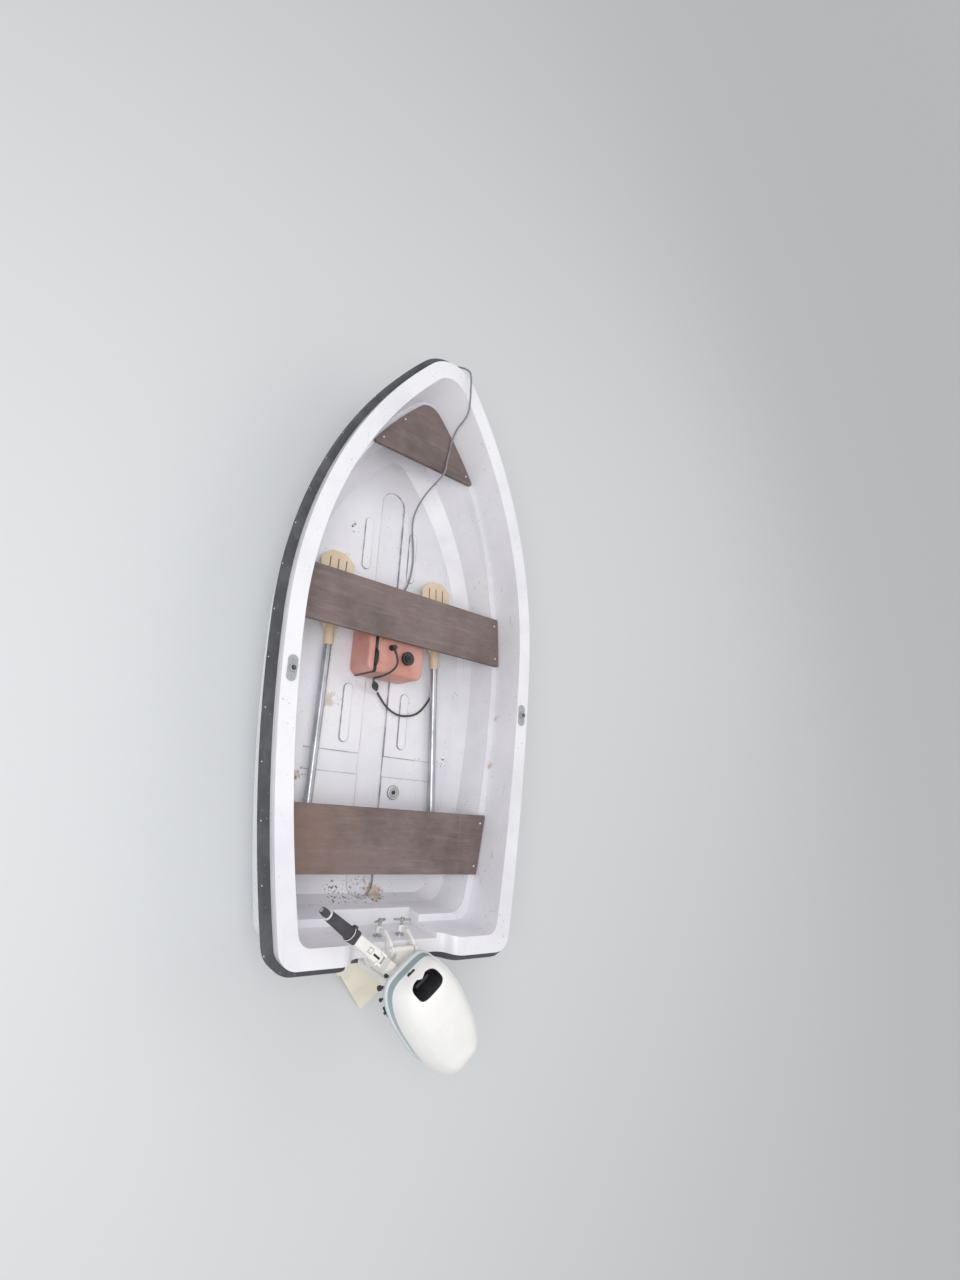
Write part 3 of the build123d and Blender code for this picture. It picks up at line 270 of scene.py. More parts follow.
class Effects:
    """Shader groups that several finishes share, each made once."""

    def __init__(self) -> None:
        """Builds every group."""
        self.mottle = self._mottle()
        self.specks = self._specks()
        self.scratches = self._scratches()
        self.blot = self._blot()
        self.flakes = self._flakes()
        self.seam = self._seam()
        self.grain = self._grain()
        self.braid = self._braid()

    def _mottle(self) -> bpy.types.NodeTree:
        """Soft uneven patches.

        Returns:
            The group.
        """
        group = Group("mottle", {"Scale": 4.0})
        patches = group.noise(group.place(), group.given("Scale"), 6.0, 0.62)
        return group.done(group.ramp(patches, 0.38, 0.68))

    def _specks(self) -> bpy.types.NodeTree:
        """Scattered small dots of uneven size.

        Returns:
            The group.
        """
        group = Group("specks", {"Scale": 60.0})
        place = group.place()
        cells = group.node("ShaderNodeTexVoronoi", {"Vector": place, "Scale": group.given("Scale")})
        tone = group.node("ShaderNodeSeparateColor", {0: cells.outputs["Color"]}).outputs[0]
        size = group.ramp(tone, 0.72, 1.0, 0.0, 0.28)
        near = group.maths("LESS_THAN", cells.outputs["Distance"], size)
        gate = group.ramp(group.noise(place, 7.0), 0.42, 0.62)
        return group.done(group.times(near, gate))

    def _scratches(self) -> bpy.types.NodeTree:
        """Fine streaks in two crossing directions.

        Returns:
            The group.
        """
        group = Group("scratches", {"Scale": 20.0})
        streaks = []
        for turn, shift in ((0.35, 0.0), (-0.9, 3.7)):
            values = {
                "Vector": group.place(), "Location": (shift, shift, 0.0), "Rotation": (0.0, 0.0, turn),
                "Scale": (0.12, 3.0, 3.0),
            }
            moved = group.node("ShaderNodeMapping", values).outputs[0]
            streaks.append(group.ramp(group.noise(moved, group.given("Scale"), 3.0, 0.7), 0.66, 0.72))
        gate = group.ramp(group.noise(group.place(), 3.1), 0.45, 0.65)
        return group.done(group.times(group.maths("MAXIMUM", *streaks), gate))

    def _blot(self) -> bpy.types.NodeTree:
        """One stain with a ragged edge.

        Returns:
            The group.
        """
        group = Group("blot", {"Centre": (0.0, 0.0, 0.0), "Radius": 0.1})
        place = group.place()
        away = group.vector("DISTANCE", place, group.given("Centre")).outputs["Value"]
        share = group.maths("DIVIDE", away, group.given("Radius"))
        ragged = group.ramp(group.noise(place, 26.0, 6.0, 0.7), 0.3, 0.7, -0.5, 0.5)
        return group.done(group.ramp(group.maths("ADD", share, ragged), 0.35, 1.0, 1.0, 0.0))

    def _flakes(self) -> bpy.types.NodeTree:
        """Small ragged chips, close together.

        Returns:
            The group.
        """
        group = Group("flakes", {"Scale": 150.0})
        ragged = group.noise(group.place(), group.given("Scale"), 2.0, 0.6)
        return group.done(group.ramp(ragged, 0.57, 0.61))

    def _seam(self) -> bpy.types.NodeTree:
        """Line of grime and painted shade round a flat capsule, or along a straight line where its radius is
        0.

        Returns:
            The group.
        """
        inputs = {
            "Centre": (0.0, 0.0, 0.0), "Way": (1.0, 0.0, 0.0), "Half": 0.1, "Radius": 0.02, "Width": 0.003,
        }
        group = Group("seam", inputs)
        place = group.place()
        away = group.vector("SUBTRACT", place, group.given("Centre")).outputs["Vector"]
        flat = group.vector("MULTIPLY", away, (1.0, 1.0, 0.0)).outputs["Vector"]
        along = group.vector("DOT_PRODUCT", flat, group.given("Way")).outputs["Value"]
        beyond = group.maths("SUBTRACT", group.maths("ABSOLUTE", along), group.given("Half"))
        beyond = group.maths("MAXIMUM", beyond, 0.0)
        whole = group.vector("DOT_PRODUCT", flat, flat).outputs["Value"]
        across = group.maths("SUBTRACT", whole, group.times(along, along))
        square = group.maths("ADD", across, group.times(beyond, beyond))
        reach = group.maths("SQRT", group.maths("MAXIMUM", square, 0.0))
        off = group.maths("ABSOLUTE", group.maths("SUBTRACT", reach, group.given("Radius")))
        # The line is painted shade with grime along the seam, patchy along its length.
        line = group.ramp(off, 0.0, group.given("Width"), 1.0, 0.0)
        worn = group.ramp(group.noise(place, 11.0, 5.0, 0.65), 0.35, 0.6, 0.25, 1.0)
        return group.done(group.times(line, worn))

    def _grain(self) -> bpy.types.NodeTree:
        """Fine unevenness as a normal.

        Returns:
            The group.
        """
        inputs = {"Scale": 300.0, "Strength": 0.2, "Depth": 0.0004}
        group = Group("fine_grain", inputs, "Normal", "NodeSocketVector")
        height = group.noise(group.place(), group.given("Scale"), 5.0, 0.6)
        values = {"Strength": group.given("Strength"), "Distance": group.given("Depth"), "Height": height}
        return group.done(group.node("ShaderNodeBump", values).outputs[0])

    def _braid(self) -> bpy.types.NodeTree:
        """Crossing strands over a cord's own lengthwise and round coordinates.

        Returns:
            The group.
        """
        group = Group("braid", {"Along": 90.0, "Around": 6.0}, "Height")
        lengthwise, round_way, _ = group.split(group.node("ShaderNodeUVMap", uv_map="UVMap").outputs[0])
        along = group.times(lengthwise, group.given("Along"))
        around = group.times(round_way, group.given("Around"))
        strands = []
        for way in ("ADD", "SUBTRACT"):
            strands.append(group.maths("SINE", group.times(group.maths(way, along, around), math.tau)))
        return group.done(group.ramp(group.maths("MAXIMUM", *strands), -0.2, 1.0))


# Finishes


@dataclass(frozen=True)
class Layer:
    """Wear of one colour: the scale of its pattern, larger is finer, and how strongly it shows."""

    colour: Colour
    scale: float
    share: float


@dataclass(frozen=True)
class Grain:
    """Fine relief of a surface: the scale of its pattern, its strength, and its depth in metres."""

    scale: float = 300.0
    strength: float = 0.15
    depth: float = 0.4 * MM


@dataclass(frozen=True)
class Blot:
    """Place and reach of a stain."""

    centre: Point
    radius: float


@dataclass(frozen=True)
class Seam:
    """Line of grime and painted shade round a flat capsule: its middle, its direction, half its straight run
    and its radius.
    """

    centre: Point
    way: Point
    half: float
    radius: float = 0.0


@dataclass(frozen=True)
class Finish:
    """A surface: its colours, its wear and how it shines."""

    slot: Slot
    base: Colour
    stain: Layer
    speck: Layer | None = None
    scratch: Layer | None = None
    roughness: tuple[float, float] = (0.4, 0.55)
    metallic: float = 0.0
    coat: float = 0.0
    grain: Grain = Grain()

    def colour(self, tree: Tree, effects: Effects) -> bpy.types.NodeSocket:
        """Colour over the surface.

        Args:
            tree: The material's tree.
            effects: The shared groups.

        Returns:
            The colour's socket.
        """
        found = self.base
        patterns = (effects.mottle, effects.specks, effects.scratches)
        for layer, pattern in zip((self.stain, self.speck, self.scratch), patterns):
            if layer:
                mask = tree.group(pattern, Scale=layer.scale)
                found = tree.lay(found, layer.colour, mask, layer.share)
        return found

    def normal(self, tree: Tree, effects: Effects) -> bpy.types.NodeSocket:
        """Fine relief of the surface."""
        grain = self.grain
        return tree.group(effects.grain, Scale=grain.scale, Strength=grain.strength, Depth=grain.depth)

    def build(self, effects: Effects) -> bpy.types.Material:
        """Makes the material.

        Args:
            effects: The shared groups.

        Returns:
            The material.
        """
        material = bpy.data.materials.new(self.slot.value)
        material.use_nodes = True
        shader = material.node_tree.nodes["Principled BSDF"]
        shader.inputs["Metallic"].default_value = self.metallic
        shader.inputs["Coat Weight"].default_value = self.coat
        shader.inputs["Coat Roughness"].default_value = COAT_ROUGHNESS
        tree = Tree(material.node_tree)
        tree.link(self.colour(tree, effects), shader.inputs["Base Color"])
        patch = tree.group(effects.mottle, Scale=self.stain.scale * SHINE_FINENESS)
        tree.link(tree.ramp(patch, 0.0, 1.0, *self.roughness), shader.inputs["Roughness"])
        tree.link(self.normal(tree, effects), shader.inputs["Normal"])
        return material


@dataclass(frozen=True)
class StainedGelcoat(Finish):
    """Moulded surface with grime and painted shade in its seams, and with chips and rust where gear has lain.
    """

    rust: Colour = (0.3, 0.12, 0.04, 1.0)
    rust_share: float = 0.5
    chip: Colour = (0.07, 0.075, 0.09, 1.0)
    chip_scale: float = 78.0
    # Colour and share of the seam lines, which paint shade in the seams together with grime.
    seam_grime_and_shade: Colour = (0.33, 0.33, 0.36, 1.0)
    seam_grime_and_shade_share: float = 0.9
    seams: tuple[Seam, ...] = ()
    chips: tuple[Blot, ...] = ()
    spots: tuple[Blot, ...] = ()

    def colour(self, tree: Tree, effects: Effects) -> bpy.types.NodeSocket:
        """Colour with grime and painted shade along its edges, and chips and stains over it.

        Args:
            tree: The material's tree.
            effects: The shared groups.

        Returns:
            The colour's socket.
        """
        found = super().colour(tree, effects)
        # Painted shade with grime along each seam.
        for seam in self.seams:
            values = {"Centre": seam.centre, "Way": seam.way, "Half": seam.half, "Radius": seam.radius}
            found = tree.lay(found, self.seam_grime_and_shade, tree.group(effects.seam, **values), self.seam_grime_and_shade_share)
        flakes = tree.group(effects.flakes, Scale=self.chip_scale)
        marks = [(blot, self.chip, flakes) for blot in self.chips]
        marks += [(blot, self.rust, self.rust_share) for blot in self.spots]
        for blot, colour, share in marks:
            mask = tree.group(effects.blot, Centre=blot.centre, Radius=blot.radius)
            found = tree.lay(found, colour, mask, share)
        return found


@dataclass(frozen=True)
class Plywood(Finish):
    """Weathered board with its grain along Y, and plies in its edges."""

    ply: Colour = (0.02, 0.015, 0.012, 1.0)
    ply_pitch: float = 3.6 * MM
    ply_share: float = 0.6
    grain_stretch: float = 0.08
    dark_share: float = 0.22
    pale_share: float = 0.3
    worn: Colour = srgb(126, 100, 88)
    worn_share: float = 0.6
    worn_at: Blot = Blot((0.40, 0.42, 0.26), 0.30)

    def colour(self, tree: Tree, effects: Effects) -> bpy.types.NodeSocket:
        """Colour with grain lines, a worn patch and plies.

        Args:
            tree: The material's tree.
            effects: The shared groups.

        Returns:
            The colour's socket.
        """
        place = tree.place()
        values = {"Vector": place, "Scale": (1.0, self.grain_stretch, 1.0)}
        stretched = tree.node("ShaderNodeMapping", values).outputs[0]
        found = super().colour(tree, effects)
        dark = tree.ramp(tree.noise(stretched, 190.0, 6.0, 0.7), 0.46, 0.66)
        found = tree.lay(found, self.ply, dark, self.dark_share)
        pale = tree.ramp(tree.noise(stretched, 46.0, 4.0, 0.6), 0.5, 0.72)
        found = tree.lay(found, self.scratch.colour, pale, self.pale_share)
        worn = tree.group(effects.blot, Centre=self.worn_at.centre, Radius=self.worn_at.radius)
        found = tree.lay(found, self.worn, worn, self.worn_share)
        wave = tree.maths("SINE", tree.times(tree.split(place)[2], math.tau / self.ply_pitch))
        normal = tree.node("ShaderNodeNewGeometry").outputs["True Normal"]
        edge = tree.ramp(tree.maths("ABSOLUTE", tree.split(normal)[2]), 0.3, 0.6, 1.0, 0.0)
        lines = tree.times(tree.ramp(wave, 0.0, 0.7), edge)
        return tree.lay(found, self.ply, lines, self.ply_share)


@dataclass(frozen=True)
class StripedPaint(Finish):
    """Cowl paint with one stripe round its lower edge, in the motor's own frame."""

    stripe: Colour = srgb(148, 168, 174)
    turn: Point = (0.0, 0.0, 0.0)
    centre: Point = (0.0, 0.0, 0.0)
    low: float = 121.0 * MM
    high: float = 150.0 * MM
    rear: float = -222.0 * MM
    slope: float = 0.05

    def colour(self, tree: Tree, effects: Effects) -> bpy.types.NodeSocket:
        """Colour with the stripe.

        Args:
            tree: The material's tree.
            effects: The shared groups.

        Returns:
            The colour's socket.
        """
        found = super().colour(tree, effects)
        values = {"Vector": tree.place(), "Location": self.centre, "Rotation": self.turn}
        ahead, _, up = tree.split(tree.node("ShaderNodeMapping", values, vector_type="TEXTURE").outputs[0])
        height = tree.maths("ADD", up, tree.times(ahead, self.slope))
        above = tree.ramp(height, self.low, self.low + MM)
        below = tree.ramp(height, self.high, self.high + MM, 1.0, 0.0)
        fore = tree.ramp(ahead, self.rear, self.rear + 3 * MM)
        return tree.mix(tree.times(tree.times(above, below), fore), found, self.stripe)


@dataclass(frozen=True)
class BraidedRope(Finish):
    """Rope whose strands follow it."""

    along: float = 90.0
    around: float = 6.0
    relief: float = 0.8 * MM

    def _strands(self, tree: Tree, effects: Effects) -> bpy.types.NodeSocket:
        """Height of the strands."""
        return tree.group(effects.braid, Along=self.along, Around=self.around)

    def colour(self, tree: Tree, effects: Effects) -> bpy.types.NodeSocket:
        """Colour with painted shade between the strands, darkened towards the stain colour.

        Args:
            tree: The material's tree.
            effects: The shared groups.

        Returns:
            The colour's socket.
        """
        found = super().colour(tree, effects)
        # Painted shade: the lower the strands' height, the darker the colour.
        shaded_gaps = tree.ramp(self._strands(tree, effects), 0.0, 0.6, 0.75, 0.0)
        return tree.mix(shaded_gaps, found, self.stain.colour)

    def normal(self, tree: Tree, effects: Effects) -> bpy.types.NodeSocket:
        """Relief of the strands."""
        values = {"Height": self._strands(tree, effects), "Strength": 0.8, "Distance": self.relief}
        return tree.node("ShaderNodeBump", values).outputs[0]


SWIVEL = Vector((-0.072, 0.0, 0.375))
RAKE = math.radians(10.0)
STEER = math.radians(41.0)
TILLER_YAW = math.radians(16.0)


def swivel_frame(yaw: float = 0.0) -> Matrix:
    """Frame on the steering axis, its Z along that axis, turned by yaw about it."""
    lean = Matrix.Rotation(-RAKE, 4, "Y") @ Matrix.Rotation(yaw, 4, "Z")
    return Matrix.Translation(SWIVEL) @ lean


MOTOR_FRAME = swivel_frame(STEER)
HELM_FRAME = swivel_frame(STEER + TILLER_YAW)

COAT_ROUGHNESS = 0.12
SHINE_FINENESS = 2.3
AHEAD = (1.0, 0.0, 0.0)
ACROSS = (0.0, 1.0, 0.0)


def floor_seams() -> tuple[Seam, ...]:
    """Lines of grime and painted shade on the floor: round its pads and its channel, and along the two ribs
    across it.

    Returns:
        The lines.
    """
    pads = [
        Seam((x, side * y, 0.0), AHEAD, half=0.104, radius=0.021)
        for x, y in ((0.920, 0.150), (1.705, 0.125))
        for side in (1, -1)
    ]
    channel = Seam((1.085, 0.0, 0.0), AHEAD, half=0.850, radius=0.064)
    ribs = [Seam((x, side * 0.197, 0.0), ACROSS, half=0.133) for x in (0.668, 0.756) for side in (1, -1)]
    return (*pads, channel, *ribs)


def drain_rings() -> tuple[Seam, ...]:
    """Rings of grime and painted shade round the bailer's middle."""
    return tuple(Seam((0.605, -0.129, 0.0), AHEAD, 0.0, radius) for radius in (0.0295, 0.0190, 0.0105))


FINISHES = (
    Finish(
        Slot.GELCOAT, srgb(236, 236, 240),
        stain=Layer(srgb(222, 223, 229), 3.0, 0.5),
        speck=Layer(srgb(140, 134, 128), 70.0, 0.2),
        scratch=Layer(srgb(160, 160, 162), 16.0, 0.25),
        roughness=(0.22, 0.4), coat=0.25, grain=Grain(40.0, 0.08),
    ),
    StainedGelcoat(
        Slot.GELCOAT_INNER, srgb(234, 233, 238),
        stain=Layer(srgb(212, 211, 219), 2.4, 0.55),
        speck=Layer(srgb(92, 78, 66), 85.0, 0.45),
        scratch=Layer(srgb(120, 122, 124), 14.0, 0.38),
        roughness=(0.28, 0.5), coat=0.15, grain=Grain(50.0, 0.1),
        # The seam colour paints shade, with grime, along the floor's pads, channel and ribs.
        rust=srgb(178, 142, 100), chip=srgb(66, 64, 70), seam_grime_and_shade=srgb(132, 129, 138),
        seams=floor_seams(),
        chips=(
            Blot((0.178, 0.12, 0.07), 0.075),
            Blot((0.180, 0.02, 0.07), 0.085),
            Blot((0.184, -0.06, 0.07), 0.06),
            Blot((0.641, 0.345, 0.07), 0.045),
            Blot((0.765, -0.40, 0.08), 0.04),
            Blot((0.972, 0.207, 0.07), 0.03),
            Blot((1.76, 0.20, 0.07), 0.03),
        ),
        spots=(
            Blot((0.184, -0.07, 0.07), 0.05),
            Blot((0.958, 0.240, 0.07), 0.04),
            Blot((0.641, 0.36, 0.07), 0.035),
            Blot((0.750, -0.542, 0.25), 0.02),
            Blot((0.973, -0.555, 0.26), 0.016),
            Blot((1.573, -0.470, 0.28), 0.02),
        ),
    ),
    Finish(
        Slot.FENDER_RUBBER, srgb(68, 69, 73),
        stain=Layer(srgb(92, 93, 97), 9.0, 0.7),
        speck=Layer(srgb(190, 192, 194), 120.0, 0.5),
        scratch=Layer(srgb(170, 172, 176), 24.0, 0.7),
        roughness=(0.55, 0.75), grain=Grain(500.0, 0.3),
    ),
    Plywood(
        Slot.PLYWOOD, srgb(123, 107, 105),
        stain=Layer(srgb(94, 81, 80), 4.0, 0.8),
        speck=Layer(srgb(166, 154, 148), 90.0, 0.3),
        scratch=Layer(srgb(150, 136, 132), 12.0, 0.25),
        roughness=(0.55, 0.8), grain=Grain(260.0, 0.35),
    ),
    Finish(
        Slot.GREY_NYLON, srgb(168, 170, 174),
        stain=Layer(srgb(140, 143, 148), 30.0, 0.5),
        speck=Layer(srgb(90, 92, 95), 200.0, 0.3),
        scratch=Layer(srgb(190, 192, 194), 60.0, 0.3),
        roughness=(0.45, 0.6),
    ),
    StainedGelcoat(
        Slot.DRAIN_PLASTIC, srgb(214, 216, 219),
        stain=Layer(srgb(176, 176, 174), 40.0, 0.6),
        speck=Layer(srgb(90, 84, 76), 260.0, 0.5),
        roughness=(0.4, 0.55),
        # The seam colour paints shade, with grime, in the rings round the bailer's plug.
        seam_grime_and_shade=srgb(34, 32, 32), seams=drain_rings(),
    ),
    Finish(
        Slot.STAINLESS, srgb(188, 190, 193),
        stain=Layer(srgb(140, 142, 146), 60.0, 0.5),
        speck=Layer(srgb(96, 80, 66), 400.0, 0.2),
        scratch=Layer(srgb(220, 222, 224), 200.0, 0.5),
        roughness=(0.2, 0.34), metallic=1.0, grain=Grain(900.0),
    ),
    Finish(
        Slot.TANK_PLASTIC, srgb(204, 151, 141),
        stain=Layer(srgb(192, 121, 104), 6.0, 0.7),
        speck=Layer(srgb(120, 66, 48), 160.0, 0.4),
        scratch=Layer(srgb(238, 176, 152), 30.0, 0.45),
        roughness=(0.35, 0.5), grain=Grain(420.0, 0.3),
    ),
    Finish(
        Slot.BLACK_PLASTIC, srgb(34, 33, 36),
        stain=Layer(srgb(56, 56, 60), 20.0, 0.5),
        speck=Layer(srgb(120, 122, 126), 240.0, 0.2),
        scratch=Layer(srgb(96, 98, 102), 60.0, 0.3),
        roughness=(0.38, 0.55), grain=Grain(700.0, 0.3),
    ),
    Finish(
        Slot.MOTOR_PAINT, srgb(236, 235, 232),
        stain=Layer(srgb(211, 210, 207), 8.0, 0.4),
        speck=Layer(srgb(130, 122, 112), 180.0, 0.4),
        scratch=Layer(srgb(170, 170, 168), 40.0, 0.3),
        roughness=(0.25, 0.4), coat=0.35,
    ),
    Finish(
        Slot.CREAM_PAINT, srgb(235, 228, 213),
        stain=Layer(srgb(213, 204, 186), 10.0, 0.5),
        speck=Layer(srgb(110, 96, 78), 160.0, 0.5),
        scratch=Layer(srgb(150, 142, 126), 40.0, 0.4),
        roughness=(0.3, 0.5), coat=0.2,
    ),
    StripedPaint(
        Slot.COWL_PAINT, srgb(242, 241, 239),
        stain=Layer(srgb(227, 227, 226), 6.0, 0.4),
        speck=Layer(srgb(140, 134, 126), 220.0, 0.3),
        scratch=Layer(srgb(190, 192, 194), 30.0, 0.25),
        roughness=(0.16, 0.28), coat=0.6, grain=Grain(30.0, 0.05),
        turn=tuple(MOTOR_FRAME.to_euler()), centre=tuple(SWIVEL),
    ),
    Finish(
        Slot.TRIM_BLUE, srgb(190, 203, 211),
        stain=Layer(srgb(166, 180, 190), 10.0, 0.5),
        speck=Layer(srgb(110, 112, 116), 200.0, 0.3),
        scratch=Layer(srgb(196, 204, 212), 50.0, 0.3),
        roughness=(0.25, 0.4), coat=0.3,
    ),
    Finish(
        Slot.PROP_ALLOY, srgb(150, 153, 157),
        stain=Layer(srgb(104, 107, 112), 18.0, 0.6),
        speck=Layer(srgb(60, 58, 56), 240.0, 0.4),
        scratch=Layer(srgb(200, 202, 205), 80.0, 0.6),
        roughness=(0.3, 0.5), metallic=0.85, grain=Grain(500.0),
    ),
    Finish(
        Slot.GRIP_RUBBER, srgb(58, 56, 60),
        stain=Layer(srgb(80, 78, 82), 30.0, 0.5),
        speck=Layer(srgb(120, 120, 120), 300.0, 0.25),
        roughness=(0.6, 0.75), grain=Grain(900.0, 0.5),
    ),
    Finish(
        Slot.RING_WHITE, srgb(232, 233, 234),
        stain=Layer(srgb(196, 196, 194), 30.0, 0.5),
        roughness=(0.35, 0.5),
    ),
    Finish(
        Slot.OAR_ALLOY, srgb(186, 188, 194),
        stain=Layer(srgb(150, 152, 158), 12.0, 0.6),
        speck=Layer(srgb(90, 88, 84), 240.0, 0.3),
        scratch=Layer(srgb(206, 209, 212), 60.0, 0.6),
        roughness=(0.28, 0.42), metallic=0.9, grain=Grain(700.0),
    ),
    Finish(
        Slot.OAR_GRIP_PLASTIC, srgb(58, 60, 64),
        stain=Layer(srgb(86, 88, 92), 24.0, 0.6),
        speck=Layer(srgb(150, 150, 150), 240.0, 0.3),
        roughness=(0.55, 0.7), grain=Grain(500.0, 0.4),
    ),
    Finish(
        Slot.BLADE_PLASTIC, srgb(228, 207, 180),
        stain=Layer(srgb(212, 188, 156), 7.0, 0.6),
        speck=Layer(srgb(140, 116, 86), 140.0, 0.4),
        scratch=Layer(srgb(234, 220, 192), 26.0, 0.45),
        roughness=(0.38, 0.55), grain=Grain(400.0, 0.25),
    ),
    Finish(
        Slot.HOSE_RUBBER, srgb(52, 50, 54),
        stain=Layer(srgb(76, 74, 78), 20.0, 0.6),
        speck=Layer(srgb(130, 130, 132), 260.0, 0.3),
        roughness=(0.5, 0.68), grain=Grain(800.0, 0.3),
    ),
    BraidedRope(
        Slot.PAINTER_ROPE, srgb(168, 168, 172),
        stain=Layer(srgb(88, 88, 92), 30.0, 0.35),
        roughness=(0.75, 0.9),
    ),
)


class Paintbox:
    """Every material of the scene by its slot."""

    def __init__(self) -> None:
        """Builds the shared effects and each finish."""
        effects = Effects()
        self.materials = {finish.slot: finish.build(effects) for finish in FINISHES}

    def dress(self, piece: bpy.types.Object, slot: Slot) -> None:
        """Gives a piece one material."""
        piece.data.materials.clear()
        piece.data.materials.append(self.materials[slot])

    def settle(self, piece: bpy.types.Object, slot: Slot, body: Body) -> None:
        """Gives a new piece its finish and its body, and reports it.

        Args:
            piece: The piece.
            slot: The finish.
            body: The body that it moves with.
        """
        self.dress(piece, slot)
        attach(piece, body.value)
        log.info("%s rides on %s in %s", piece.name, body.value, slot.value)


# Shapes

MERGE = 1e-6
SHARP = 0.6


def skinned(rings: list[list[Vector]]) -> bmesh.types.BMesh:
    """Closed body between rings that have as many points each.

    Args:
        rings: Rings of points, from end to end.

    Returns:
        The body.
    """
    part = bmesh.new()
    loops = []
    for ring in rings:
        verts = [part.verts.new(point) for point in ring]
        loops.append((verts, [part.edges.new(pair) for pair in zip(verts, verts[1:] + verts[:1])]))
    for (_, first), (_, second) in zip(loops, loops[1:]):
        bmesh.ops.bridge_loops(part, edges=first + second)
    part.faces.new(loops[0][0])
    part.faces.new(loops[-1][0])
    bmesh.ops.recalc_face_normals(part, faces=part.faces)
    return part


def carved(body: bmesh.types.BMesh, cutter: bmesh.types.BMesh) -> bmesh.types.BMesh:
    """A body with the cutter's volume taken out of it.

    Args:
        body: The body, which is used up.
        cutter: The cutter, which is used up.

    Returns:
        What is left.
    """
    made = []
    for mesh in (body, cutter):
        data = bpy.data.meshes.new("carving")
        mesh.to_mesh(data)
        mesh.free()
        made.append(bpy.data.objects.new("carving", data))
        bpy.context.scene.collection.objects.link(made[-1])
    cut = made[0].modifiers.new("cut", "BOOLEAN")
    cut.object = made[1]
    cut.operation = "DIFFERENCE"
    cut.solver = "EXACT"
    bpy.context.view_layer.update()
    data = bpy.data.meshes.new_from_object(made[0].evaluated_get(bpy.context.evaluated_depsgraph_get()))
    found = bmesh.new()
    found.from_mesh(data)
    bpy.data.meshes.remove(data)
    for item in made:
        used = item.data
        bpy.data.objects.remove(item)
        bpy.data.meshes.remove(used)
    return found


